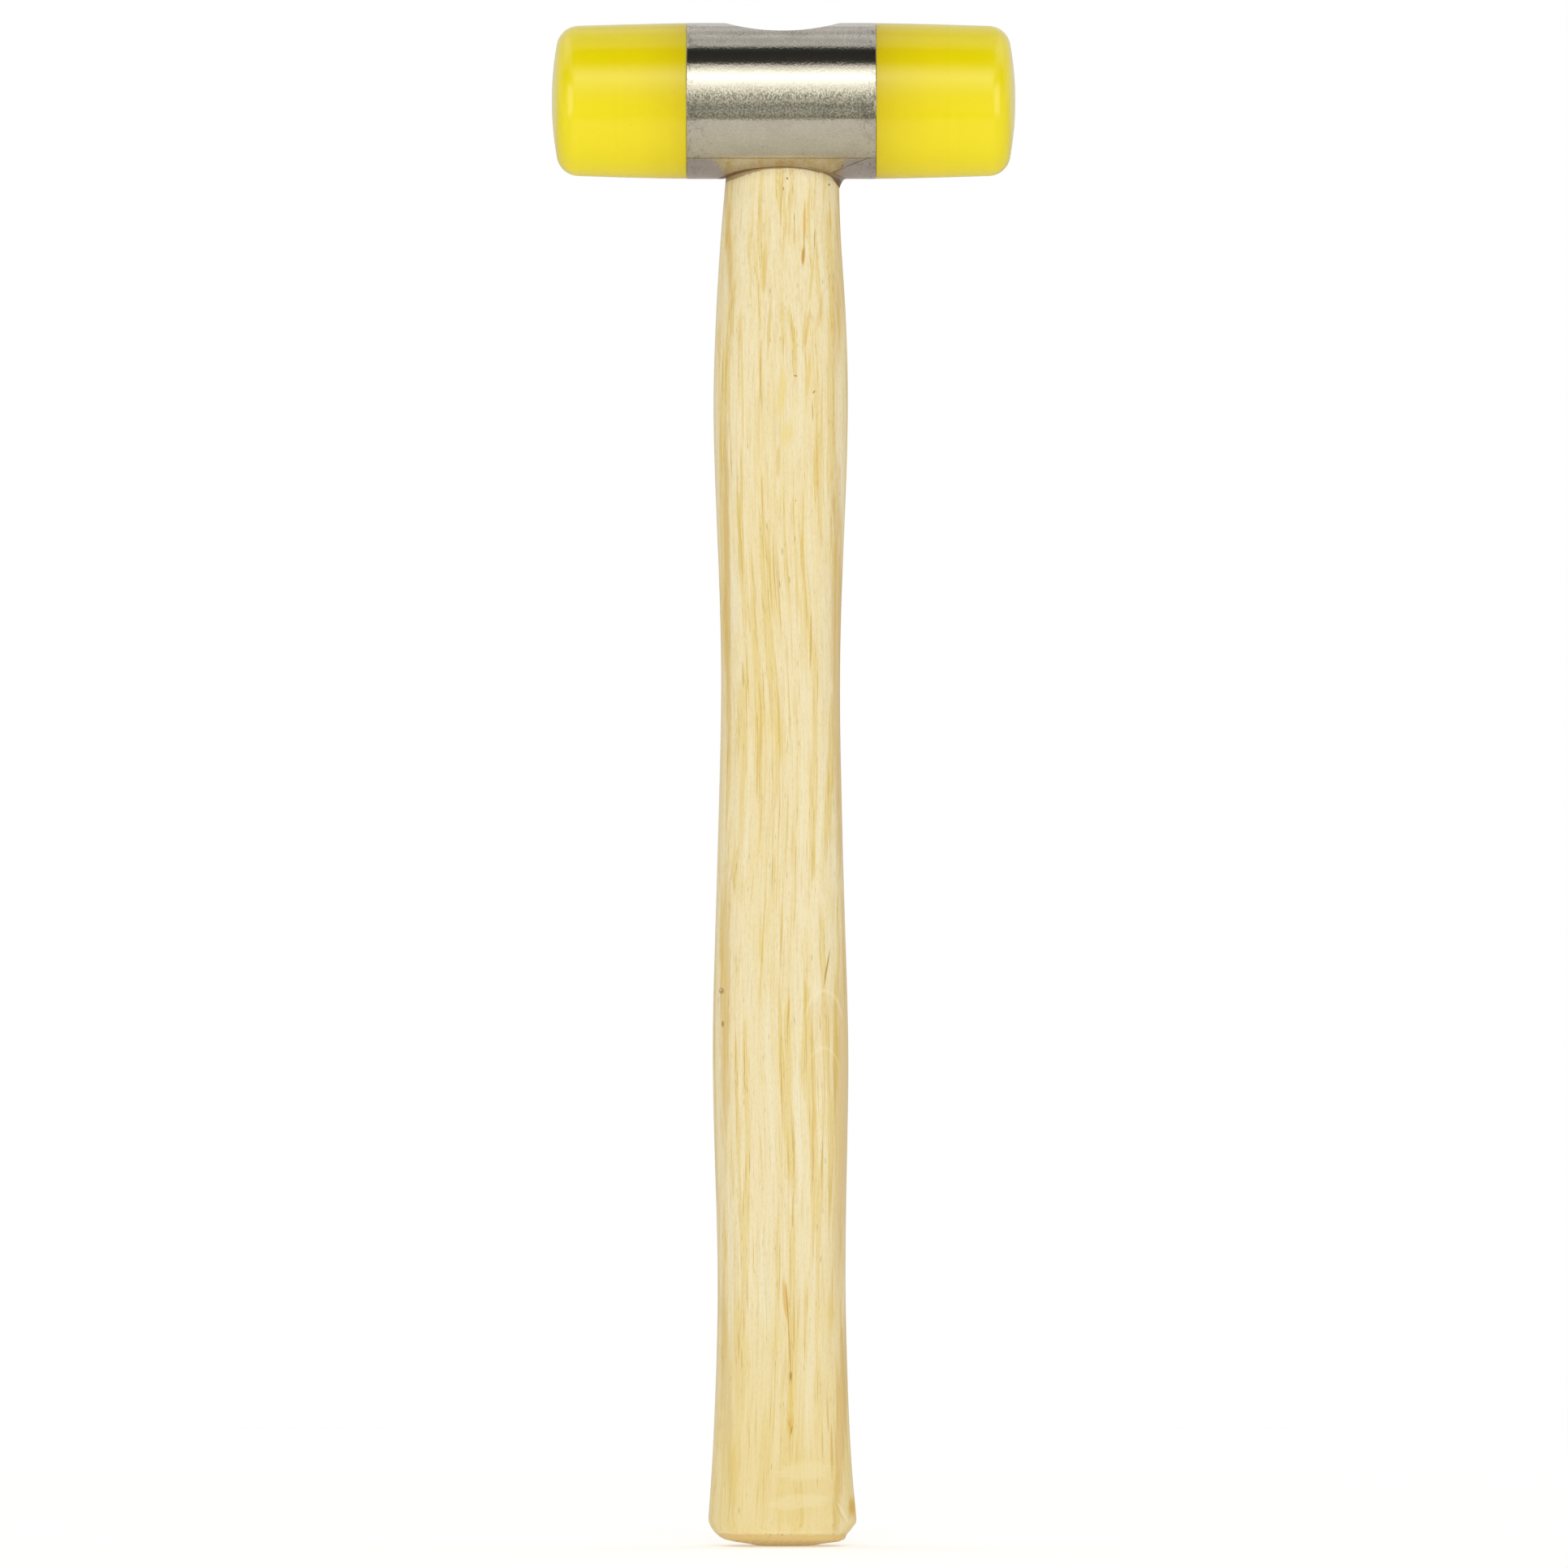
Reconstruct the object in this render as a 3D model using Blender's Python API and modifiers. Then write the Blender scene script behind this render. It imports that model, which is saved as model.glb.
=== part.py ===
"""Soft-face mallet: steel cylindrical head, two screw-in plastic faces, oval wooden handle.

Frame: +Z up the handle, head axis along X, the butt of the handle rests on Z = 0.
All dimensions in metres.
"""
import math

import bmesh
import bpy
import numpy as np
from mathutils import Matrix, Vector

MM = 0.001

# ---------------------------------------------------------------- driving dimensions
HEAD_R = 17.5 * MM            # steel cylinder and plastic faces share one nominal diameter of 35 mm
HEAD_Z = 323.8 * MM           # height of the head's axis above the butt
BODY_LEFT = -21.7 * MM        # machined ends of the steel cylinder
BODY_RIGHT = 20.7 * MM
BODY_EDGE = 0.35 * MM         # broken edge at each end

GAP = 0.3 * MM                # running or fitting gap between neighbours

FACE_LEN_LEFT = 29.9 * MM     # seat to crown
FACE_LEN_RIGHT = 30.9 * MM
FACE_SEAT_R = 17.45 * MM
FACE_NOSE_R = 16.83 * MM      # radius where the edge rounding starts
FACE_EDGE_R = 5.0 * MM        # rounding between side and dome
FACE_DOME_R = 70.0 * MM       # crown of the striking face
FACE_FLAT_R = 3.0 * MM        # small flat left by the mould's sprue at the crown
FACE_SEAT_EDGE = 0.3 * MM

STUD_R = 6.0 * MM             # M12 stud
STUD_PITCH = 1.75 * MM
STUD_OUT = 7.9 * MM           # thread that stands out of the face's seat
STUD_TIP = 1.0 * MM           # chamfer at the tip
STUD_NECK = 2.5 * MM          # plain length inside the plastic, below the anchor
ANCHOR_R = 8.6 * MM           # moulded-in anchor with one retaining groove
ANCHOR_LEN = 11.0 * MM
ANCHOR_GROOVE = 1.2 * MM
HOLE_R = STUD_R + GAP         # tapped hole, to the crest of its thread
HOLE_SINK = 0.7 * MM          # countersink at the mouth

EYE_X = -0.25 * MM            # centre of the eye along the head
EYE_BOTTOM = (13.0 * MM, 8.85 * MM)   # half length along X, half width along Y
EYE_WAIST = (12.45 * MM, 7.55 * MM)
EYE_TOP = (12.75 * MM, 7.85 * MM)
EYE_WAIST_Z = 3.0 * MM        # above the head's axis
EYE_POWER = 2.1

TENON_TOP = 14.9 * MM         # above the head's axis
KERF_BOTTOM = -9.0 * MM       # below it
WOOD_WEDGE_TOP = 15.2 * MM
WOOD_WEDGE_BOTTOM = -8.0 * MM
WOOD_WEDGE_HALF_X = 11.8 * MM
WOOD_WEDGE_THICK = (0.9 * MM, 3.3 * MM)   # tip, top
STEEL_WEDGE_TOP = 14.6 * MM
STEEL_WEDGE_BOTTOM = 2.5 * MM
STEEL_WEDGE_HALF_Y = 5.0 * MM
STEEL_WEDGE_THICK = (0.7 * MM, 2.6 * MM)

BUTT_FLAT = 5.0 * MM          # half length of the sawn flat in the middle of the butt
BUTT_DOME_R = 72.0 * MM
BUTT_EDGE_R = 4.6 * MM

# The handle's section at its named heights: height, width along X, depth along Y, sideways set, section power
HANDLE_STATIONS = (
    # butt flare
    (5.9, 33.3, 24.4, -0.26, 2.45),
    (15.3, 31.8, 23.5, -0.35, 2.45),
    (29.9, 30.2, 22.6, -0.40, 2.5),
    # dip behind the grip
    (59.0, 28.8, 21.7, -0.45, 2.5),
    (88.1, 29.8, 22.4, -0.62, 2.5),
    # palm swell
    (109.9, 30.5, 22.9, -0.68, 2.5),
    (138.0, 29.25, 22.0, -0.74, 2.5),
    (165.0, 27.7, 20.9, -0.72, 2.5),
    # waist
    (193.6, 26.75, 20.3, -0.68, 2.45),
    (219.0, 27.95, 21.0, -0.66, 2.4),
    # shoulder swell
    (255.4, 30.2, 22.3, -0.64, 2.4),
    (277.2, 29.05, 20.6, -0.60, 2.3),
    (299.1, 26.3, 17.9, -0.50, 2.15),
    # neck, where it enters the head
    (306.5, 25.4, 17.1, -0.25, 2.1),
)

HANDLE_SIDES = 40
ROUND_SIDES = 48


# ---------------------------------------------------------------- helpers
def clear_scene():
    for ob in list(bpy.data.objects):
        bpy.data.objects.remove(ob, do_unlink=True)


def new_collection(name):
    coll = bpy.data.collections.new(name)
    bpy.context.scene.collection.children.link(coll)
    return coll


def material(name, color, roughness, metallic):
    mat = bpy.data.materials.new(name)
    mat.use_nodes = True
    bsdf = mat.node_tree.nodes["Principled BSDF"]
    bsdf.inputs["Base Color"].default_value = (*color, 1.0)
    bsdf.inputs["Roughness"].default_value = roughness
    bsdf.inputs["Metallic"].default_value = metallic
    mat.diffuse_color = (*color, 1.0)
    return mat


def add_object(name, mesh, coll, mat=None):
    ob = bpy.data.objects.new(name, mesh)
    coll.objects.link(ob)
    if mat is not None:
        ob.data.materials.append(mat)
    return ob


def make_cutter(ob):
    ob.hide_render = True
    ob.display_type = "WIRE"
    return ob


def cut(ob, cutter):
    mod = ob.modifiers.new("cut_" + cutter.name, "BOOLEAN")
    mod.operation = "DIFFERENCE"
    mod.solver = "EXACT"
    mod.object = cutter
    return mod


def bevel(ob, width, segments=2, angle=50.0):
    mod = ob.modifiers.new("edge", "BEVEL")
    mod.width = width
    mod.segments = segments
    mod.limit_method = "ANGLE"
    mod.angle_limit = math.radians(angle)
    return mod


def shade(mesh, angle=32.0):
    mesh.shade_smooth()
    mesh.set_sharp_from_angle(angle=math.radians(angle))


def smooth_curve(knots, values):
    """A natural cubic spline through the knots, returned as a function of the knot coordinate."""
    x = np.asarray(knots, float)
    y = np.asarray(values, float)
    n = len(x)
    h = np.diff(x)
    a = np.zeros((n, n))
    b = np.zeros(n)
    a[0, 0] = a[-1, -1] = 1.0
    for i in range(1, n - 1):
        a[i, i - 1] = h[i - 1]
        a[i, i] = 2 * (h[i - 1] + h[i])
        a[i, i + 1] = h[i]
        b[i] = 3 * ((y[i + 1] - y[i]) / h[i] - (y[i] - y[i - 1]) / h[i - 1])
    c = np.linalg.solve(a, b)

    def at(t):
        i = int(np.clip(np.searchsorted(x, t) - 1, 0, n - 2))
        slope = (y[i + 1] - y[i]) / h[i] - h[i] * (2 * c[i] + c[i + 1]) / 3
        curl = (c[i + 1] - c[i]) / (3 * h[i])
        u = t - x[i]
        return float(y[i] + slope * u + c[i] * u * u + curl * u ** 3)

    return at


def oval(half_x, half_y, power, sides):
    """Points of a superellipse, spread evenly, anticlockwise seen from above."""
    out = []
    for k in range(sides):
        t = 2 * math.pi * k / sides
        ang = math.atan2(half_y * math.sin(t), half_x * math.cos(t))
        c, s = abs(math.cos(ang)), abs(math.sin(ang))
        r = ((c / half_x) ** power + (s / half_y) ** power) ** (-1 / power)
        out.append((r * math.cos(ang), r * math.sin(ang)))
    return out


def loft(name, sections):
    """A closed skin through rings of equal count, each (height, centre_x, half_x, half_y, power), low to high."""
    bm = bmesh.new()
    rings = []
    for z, cx, hx, hy, power in sections:
        rings.append([bm.verts.new((cx + px, py, z)) for px, py in oval(hx, hy, power, HANDLE_SIDES)])
    for low, high in zip(rings, rings[1:]):
        for i in range(HANDLE_SIDES):
            j = (i + 1) % HANDLE_SIDES
            bm.faces.new((low[i], low[j], high[j], high[i]))
    bm.faces.new(list(reversed(rings[0])))
    bm.faces.new(rings[-1])
    mesh = bpy.data.meshes.new(name)
    bm.to_mesh(mesh)
    bm.free()
    return mesh


def crowned_end(side_r, edge_r, dome_r, flat_r, edge_steps, dome_steps):
    """Profile of a crowned end: (depth below the crown, radius) from the flat's rim to where the side starts."""
    top = dome_r - math.sqrt(dome_r ** 2 - flat_r ** 2)
    centre_r = side_r - edge_r
    centre_t = dome_r - math.sqrt((dome_r - edge_r) ** 2 - centre_r ** 2)
    touch = math.asin(centre_r / (dome_r - edge_r))
    touch_r = dome_r * math.sin(touch)
    out = []
    for k in range(dome_steps):
        r = flat_r + (touch_r - flat_r) * k / dome_steps
        out.append((dome_r - math.sqrt(dome_r ** 2 - r ** 2) - top, r))
    for k in range(edge_steps + 1):
        ang = touch + (math.pi / 2 - touch) * k / edge_steps
        out.append((centre_t - edge_r * math.cos(ang) - top, centre_r + edge_r * math.sin(ang)))
    return out


def turned(name, profile, coll, mat, sides=ROUND_SIDES):
    """A solid turned about local Z from a profile of (radius, height), top to bottom, that starts and ends on the axis."""
    bm = bmesh.new()
    verts = [bm.verts.new((r, 0.0, z)) for r, z in profile]
    for a, b in zip(verts, verts[1:]):
        bm.edges.new((a, b))
    mesh = bpy.data.meshes.new(name)
    bm.to_mesh(mesh)
    bm.free()
    ob = add_object(name, mesh, coll, mat)
    mod = ob.modifiers.new("turn", "SCREW")
    mod.axis = "Z"
    mod.angle = 2 * math.pi
    mod.steps = sides
    mod.render_steps = sides
    mod.use_merge_vertices = True
    mod.merge_threshold = 0.00001
    mod.use_smooth_shade = True
    return ob


def box_between(name, x0, x1, y0, y1, z0, z1):
    """A box from its lowest to its highest corner."""
    bm = bmesh.new()
    bmesh.ops.create_cube(bm, size=1.0)
    bmesh.ops.scale(bm, vec=(x1 - x0, y1 - y0, z1 - z0), verts=bm.verts)
    bmesh.ops.translate(bm, vec=((x0 + x1) / 2, (y0 + y1) / 2, (z0 + z1) / 2), verts=bm.verts)
    mesh = bpy.data.meshes.new(name)
    bm.to_mesh(mesh)
    bm.free()
    return mesh


def taper(mesh, axis, z0, z1, half0, half1, centre=0.0):
    """Sets the half thickness along one axis to run linearly from half0 at z0 to half1 at z1."""
    for v in mesh.vertices:
        share = (v.co.z - z0) / (z1 - z0)
        half = half0 + (half1 - half0) * share
        v.co[axis] = centre + math.copysign(half, v.co[axis] - centre)


# ---------------------------------------------------------------- pieces
def eye_sections(grow=0.0, low=-22.0 * MM, high=22.0 * MM, steps=11):
    """Sections of the hourglass eye about the head's axis, made larger all round by grow."""
    heights = (-HEAD_R, EYE_WAIST_Z, HEAD_R)
    half_x = smooth_curve(heights, (EYE_BOTTOM[0], EYE_WAIST[0], EYE_TOP[0]))
    half_y = smooth_curve(heights, (EYE_BOTTOM[1], EYE_WAIST[1], EYE_TOP[1]))
    out = []
    for k in range(steps):
        z = low + (high - low) * k / (steps - 1)
        out.append((HEAD_Z + z, EYE_X, half_x(z) + grow, half_y(z) + grow, EYE_POWER))
    return out


def handle_sections():
    knots = [s[0] * MM for s in HANDLE_STATIONS]
    curves = [smooth_curve(knots, [s[i] * (MM if i < 4 else 1.0) for s in HANDLE_STATIONS]) for i in (1, 2, 3, 4)]

    def section(z):
        width, depth, cx, power = (c(z) for c in curves)
        return (z, cx, width / 2, depth / 2, power)

    out = []
    first = section(knots[0])
    # crowned butt
    for t, r in crowned_end(first[2], BUTT_EDGE_R, BUTT_DOME_R, BUTT_FLAT, 5, 3):
        share = r / first[2]
        out.append((t, first[1], r, first[3] * share, first[4]))
    # grip, waist and swell, up to the head
    z = out[-1][0] + 3.0 * MM
    while z < knots[-1] - 3.0 * MM:
        out.append(section(z))
        z += 7.6 * MM
    out.append(section(knots[-1]))
    # tenon inside the eye
    tenon = eye_sections(grow=-GAP, low=-HEAD_R + 3.0 * MM, high=TENON_TOP, steps=6)
    out.extend(tenon)
    return out


def build():
    clear_scene()
    parts = new_collection("soft_face_mallet")
    cutters = new_collection("cutters")

    steel = material("head_steel", (0.42, 0.40, 0.36), 0.32, 1.0)
    stud_steel = material("stud_steel", (0.50, 0.49, 0.47), 0.35, 1.0)
    wedge_steel = material("wedge_steel", (0.30, 0.30, 0.31), 0.5, 1.0)
    plastic = material("face_plastic", (0.86, 0.70, 0.02), 0.32, 0.0)
    wood = material("handle_wood", (0.80, 0.66, 0.40), 0.5, 0.0)
    wedge_wood = material("wedge_wood", (0.62, 0.45, 0.25), 0.6, 0.0)

    # ---- cutters
    eye = make_cutter(add_object("cut_eye", loft("cut_eye", eye_sections()), cutters))

    depth_to_eye = 14.0 * MM
    hole_profile = (
        (0.0, 2.0 * MM),
        (HOLE_R + HOLE_SINK, 2.0 * MM),
        (HOLE_R + HOLE_SINK, 0.0),
        (HOLE_R, -HOLE_SINK),
        (HOLE_R, -depth_to_eye),
        (0.0, -depth_to_eye),
    )
    holes = []
    for side, x, turn in (("left", BODY_LEFT, -90.0), ("right", BODY_RIGHT, 90.0)):
        hole = make_cutter(turned("cut_hole_" + side, hole_profile, cutters, None, sides=36))
        hole.location = (x, 0.0, HEAD_Z)
        hole.rotation_euler = (0.0, math.radians(turn), 0.0)
        holes.append(hole)

    # kerf: a tapered slot along the whole length of the tenon
    kerf_top = TENON_TOP + 1.0 * MM
    kerf_mesh = box_between(
        "cut_kerf", EYE_X - 16 * MM, EYE_X + 16 * MM, -1 * MM, 1 * MM, HEAD_Z + KERF_BOTTOM, HEAD_Z + kerf_top
    )
    tip, top = WOOD_WEDGE_THICK
    rise = (top - tip) / 2 / (WOOD_WEDGE_TOP - WOOD_WEDGE_BOTTOM)

    def wedge_half(z):
        return tip / 2 + rise * (z - WOOD_WEDGE_BOTTOM)

    taper(
        kerf_mesh, 1, HEAD_Z + KERF_BOTTOM, HEAD_Z + kerf_top,
        wedge_half(KERF_BOTTOM) + GAP, wedge_half(kerf_top) + GAP,
    )
    kerf = make_cutter(add_object("cut_kerf", kerf_mesh, cutters))

    # the steel wedge's pocket across the kerf
    s_tip, s_top = STEEL_WEDGE_THICK
    s_rise = (s_top - s_tip) / 2 / (STEEL_WEDGE_TOP - STEEL_WEDGE_BOTTOM)

    def steel_half(z):
        return s_tip / 2 + s_rise * (z - STEEL_WEDGE_BOTTOM)

    pocket_low = STEEL_WEDGE_BOTTOM - GAP
    pocket_high = TENON_TOP + 1.5 * MM
    pocket_mesh = box_between(
        "cut_pocket", EYE_X - 1 * MM, EYE_X + 1 * MM,
        -STEEL_WEDGE_HALF_Y - GAP, STEEL_WEDGE_HALF_Y + GAP, HEAD_Z + pocket_low, HEAD_Z + pocket_high,
    )
    taper(
        pocket_mesh, 0, HEAD_Z + pocket_low, HEAD_Z + pocket_high,
        steel_half(pocket_low) + GAP, steel_half(pocket_high) + GAP, centre=EYE_X,
    )
    pocket = make_cutter(add_object("cut_pocket", pocket_mesh, cutters))

    # ---- head body: a steel cylinder along X
    length = BODY_RIGHT - BODY_LEFT
    bm = bmesh.new()
    bmesh.ops.create_cone(
        bm, cap_ends=True, segments=ROUND_SIDES + 24, radius1=HEAD_R, radius2=HEAD_R, depth=length,
        matrix=Matrix.Rotation(math.radians(90.0), 4, "Y"),
    )
    mesh = bpy.data.meshes.new("head_body")
    bm.to_mesh(mesh)
    bm.free()
    shade(mesh)
    head = add_object("head_body", mesh, parts, steel)
    head.location = ((BODY_LEFT + BODY_RIGHT) / 2, 0.0, HEAD_Z)
    bevel(head, BODY_EDGE, segments=2)
    cut(head, eye)
    for hole in holes:
        cut(head, hole)

    # ---- handle
    mesh = loft("handle", handle_sections())
    shade(mesh)
    handle = add_object("handle", mesh, parts, wood)
    cut(handle, kerf)
    cut(handle, pocket)

    # ---- wedges
    mesh = box_between(
        "wood_wedge", EYE_X - WOOD_WEDGE_HALF_X, EYE_X + WOOD_WEDGE_HALF_X, -1 * MM, 1 * MM,
        HEAD_Z + WOOD_WEDGE_BOTTOM, HEAD_Z + WOOD_WEDGE_TOP,
    )
    taper(mesh, 1, HEAD_Z + WOOD_WEDGE_BOTTOM, HEAD_Z + WOOD_WEDGE_TOP, tip / 2, top / 2)
    wood_wedge = add_object("wood_wedge", mesh, parts, wedge_wood)
    cut(wood_wedge, pocket)

    mesh = box_between(
        "steel_wedge", EYE_X - 1 * MM, EYE_X + 1 * MM, -STEEL_WEDGE_HALF_Y, STEEL_WEDGE_HALF_Y,
        HEAD_Z + STEEL_WEDGE_BOTTOM, HEAD_Z + STEEL_WEDGE_TOP,
    )
    taper(
        mesh, 0, HEAD_Z + STEEL_WEDGE_BOTTOM, HEAD_Z + STEEL_WEDGE_TOP, s_tip / 2, s_top / 2, centre=EYE_X
    )
    steel_wedge = add_object("steel_wedge", mesh, parts, wedge_steel)
    bevel(steel_wedge, 0.12 * MM, segments=2)

    # ---- faces and their studs, each on an empty on the screw axis at the seat
    for side, x, face_len, turn in (
        ("left", BODY_LEFT - GAP, FACE_LEN_LEFT, -90.0),
        ("right", BODY_RIGHT + GAP, FACE_LEN_RIGHT, 90.0),
    ):
        axis = bpy.data.objects.new("screw_axis_" + side, None)
        axis.empty_display_size = 0.02
        axis.location = (x, 0.0, HEAD_Z)
        axis.rotation_euler = (0.0, math.radians(turn), 0.0)
        parts.objects.link(axis)

        # outside: crown, rounded edge, slightly conical side, seat
        profile = [(0.0, face_len)]
        profile += [
            (r, face_len - t)
            for t, r in crowned_end(FACE_NOSE_R, FACE_EDGE_R, FACE_DOME_R, FACE_FLAT_R, 7, 4)
        ]
        profile += [
            (FACE_NOSE_R + (FACE_SEAT_R - FACE_NOSE_R) * 0.55, face_len * 0.42),
            (FACE_SEAT_R, FACE_SEAT_EDGE),
            (FACE_SEAT_R - FACE_SEAT_EDGE, 0.0),
        ]
        # inside: the stud's neck and anchor, cast into the plastic
        groove_low = STUD_NECK + ANCHOR_LEN * 0.4
        groove_high = STUD_NECK + ANCHOR_LEN * 0.6
        profile += [
            (STUD_R + GAP, 0.0),
            (STUD_R + GAP, STUD_NECK - GAP),
            (ANCHOR_R + GAP, STUD_NECK - GAP),
            (ANCHOR_R + GAP, groove_low + GAP),
            (ANCHOR_R - ANCHOR_GROOVE + GAP, groove_low + ANCHOR_GROOVE * 0.5 + GAP),
            (ANCHOR_R - ANCHOR_GROOVE + GAP, groove_high - ANCHOR_GROOVE * 0.5 - GAP),
            (ANCHOR_R + GAP, groove_high - GAP),
            (ANCHOR_R + GAP, STUD_NECK + ANCHOR_LEN + GAP),
            (0.0, STUD_NECK + ANCHOR_LEN + GAP),
        ]
        face = turned("face_" + side, profile, parts, plastic)
        face.parent = axis

        stud_profile = (
            (0.0, STUD_NECK + ANCHOR_LEN),
            (ANCHOR_R - 0.5 * MM, STUD_NECK + ANCHOR_LEN),
            (ANCHOR_R, STUD_NECK + ANCHOR_LEN - 0.5 * MM),
            (ANCHOR_R, groove_high),
            (ANCHOR_R - ANCHOR_GROOVE, groove_high - ANCHOR_GROOVE * 0.5),
            (ANCHOR_R - ANCHOR_GROOVE, groove_low + ANCHOR_GROOVE * 0.5),
            (ANCHOR_R, groove_low),
            (ANCHOR_R, STUD_NECK),
            (STUD_R, STUD_NECK),
            (STUD_R, -STUD_OUT + STUD_TIP),
            (STUD_R - STUD_TIP, -STUD_OUT),
            (0.0, -STUD_OUT),
        )
        stud = turned("stud_" + side, stud_profile, parts, stud_steel, sides=36)
        stud.parent = axis


build()
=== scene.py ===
import math

import bmesh
import bpy
import numpy as np
from mathutils import Matrix, Vector, noise


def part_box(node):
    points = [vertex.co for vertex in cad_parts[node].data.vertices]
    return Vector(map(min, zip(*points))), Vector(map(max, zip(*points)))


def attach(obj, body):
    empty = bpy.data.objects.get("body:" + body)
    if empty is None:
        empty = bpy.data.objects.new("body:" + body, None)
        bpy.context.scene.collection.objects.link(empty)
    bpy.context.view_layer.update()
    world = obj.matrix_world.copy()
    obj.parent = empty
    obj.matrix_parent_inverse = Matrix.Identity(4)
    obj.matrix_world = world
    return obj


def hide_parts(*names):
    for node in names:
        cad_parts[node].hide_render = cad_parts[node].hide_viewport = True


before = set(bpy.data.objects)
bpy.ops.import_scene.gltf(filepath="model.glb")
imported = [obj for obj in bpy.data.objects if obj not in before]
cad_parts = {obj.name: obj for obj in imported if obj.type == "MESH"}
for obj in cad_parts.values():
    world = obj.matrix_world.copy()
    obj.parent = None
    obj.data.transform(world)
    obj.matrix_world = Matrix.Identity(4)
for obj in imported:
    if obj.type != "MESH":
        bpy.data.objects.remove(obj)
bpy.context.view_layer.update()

MM = 0.001

# ------------------------------------------------------------------ places read from the frame
_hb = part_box("head_body")
HEAD_X0, HEAD_X1 = _hb[0].x, _hb[1].x
HEAD_Z = (_hb[0].z + _hb[1].z) / 2
HEAD_R = (_hb[1].z - _hb[0].z) / 2
_fl, _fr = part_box("face_left"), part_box("face_right")
SEAM = 0.04 * MM
SEAT_L, CROWN_L = HEAD_X0 - SEAM, _fl[0].x
SEAT_R, CROWN_R = HEAD_X1 + SEAM, _fr[1].x
_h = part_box("handle")
TENON_TOP = _h[1].z
_ww, _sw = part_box("wood_wedge"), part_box("steel_wedge")
EYE_X = (_sw[0].x + _sw[1].x) / 2

# shape laws shared with the CAD model
FACE_NOSE_R, FACE_SEAT_R = 16.83 * MM, 17.45 * MM
FACE_EDGE_R, FACE_DOME_R, FACE_FLAT_R = 5.0 * MM, 70.0 * MM, 3.0 * MM
EYE_BOTTOM, EYE_WAIST, EYE_TOP = (13.0, 8.85), (12.45, 7.55), (12.75, 7.85)
EYE_WAIST_Z, EYE_POWER = 3.0 * MM, 2.1
STUD_R, STUD_PITCH, STUD_OUT, STUD_TIP, STUD_NECK = 6.0 * MM, 1.75 * MM, 7.9 * MM, 1.0 * MM, 2.5 * MM
ANCHOR_R, ANCHOR_LEN, ANCHOR_GROOVE = 8.6 * MM, 11.0 * MM, 1.2 * MM
GAP = 0.3 * MM
TENON_GAP = 0.10 * MM
HANDLE_STATIONS = (
    (5.9, 33.3, 24.4, -0.26, 2.45),
    (15.3, 31.8, 23.5, -0.35, 2.45),
    (29.9, 30.2, 22.6, -0.40, 2.5),
    (59.0, 28.8, 21.7, -0.45, 2.5),
    (88.1, 29.8, 22.4, -0.62, 2.5),
    (109.9, 30.5, 22.9, -0.68, 2.5),
    (138.0, 29.25, 22.0, -0.74, 2.5),
    (165.0, 27.7, 20.9, -0.72, 2.5),
    (193.6, 26.75, 20.3, -0.68, 2.45),
    (219.0, 27.95, 21.0, -0.66, 2.4),
    (255.4, 30.2, 22.3, -0.64, 2.4),
    (277.2, 29.05, 20.6, -0.60, 2.3),
    (299.1, 26.3, 17.9, -0.50, 2.15),
    (306.5, 25.4, 17.1, -0.25, 2.1),
)
BUTT_FLAT, BUTT_DOME_R, BUTT_EDGE_R = 5.0 * MM, 72.0 * MM, 4.6 * MM

pieces = bpy.data.collections.new("pieces")
bpy.context.scene.collection.children.link(pieces)


# ------------------------------------------------------------------ geometry helpers
def smooth_curve(knots, values):
    """A natural cubic spline through the knots."""
    x = np.asarray(knots, float)
    y = np.asarray(values, float)
    n = len(x)
    h = np.diff(x)
    a = np.zeros((n, n))
    b = np.zeros(n)
    a[0, 0] = a[-1, -1] = 1.0
    for i in range(1, n - 1):
        a[i, i - 1] = h[i - 1]
        a[i, i] = 2 * (h[i - 1] + h[i])
        a[i, i + 1] = h[i]
        b[i] = 3 * ((y[i + 1] - y[i]) / h[i] - (y[i] - y[i - 1]) / h[i - 1])
    c = np.linalg.solve(a, b)

    def at(t):
        t = np.asarray(t, float)
        i = np.clip(np.searchsorted(x, t) - 1, 0, n - 2)
        slope = (y[i + 1] - y[i]) / h[i] - h[i] * (2 * c[i] + c[i + 1]) / 3
        curl = (c[i + 1] - c[i]) / (3 * h[i])
        u = t - x[i]
        return y[i] + slope * u + c[i] * u * u + curl * u ** 3

    return at


def oval_dir(t, half_x, half_y, power):
    """Point of a superellipse for the even angle t."""
    ang = np.arctan2(half_y * np.sin(t), half_x * np.cos(t))
    c, s = np.abs(np.cos(ang)), np.abs(np.sin(ang))
    r = ((c / half_x) ** power + (s / half_y) ** power) ** (-1 / power)
    return r * np.cos(ang), r * np.sin(ang)


def crowned_end(side_r, edge_r, dome_r, flat_r, edge_steps, dome_steps):
    """Profile of a crowned end: (depth below the crown, radius)."""
    top = dome_r - math.sqrt(dome_r ** 2 - flat_r ** 2)
    centre_r = side_r - edge_r
    centre_t = dome_r - math.sqrt((dome_r - edge_r) ** 2 - centre_r ** 2)
    touch = math.asin(centre_r / (dome_r - edge_r))
    touch_r = dome_r * math.sin(touch)
    out = []
    for k in range(dome_steps):
        r = flat_r + (touch_r - flat_r) * k / dome_steps
        out.append((dome_r - math.sqrt(dome_r ** 2 - r ** 2) - top, r))
    for k in range(edge_steps + 1):
        ang = touch + (math.pi / 2 - touch) * k / edge_steps
        out.append((centre_t - edge_r * math.cos(ang) - top, centre_r + edge_r * math.sin(ang)))
    return out


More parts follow.
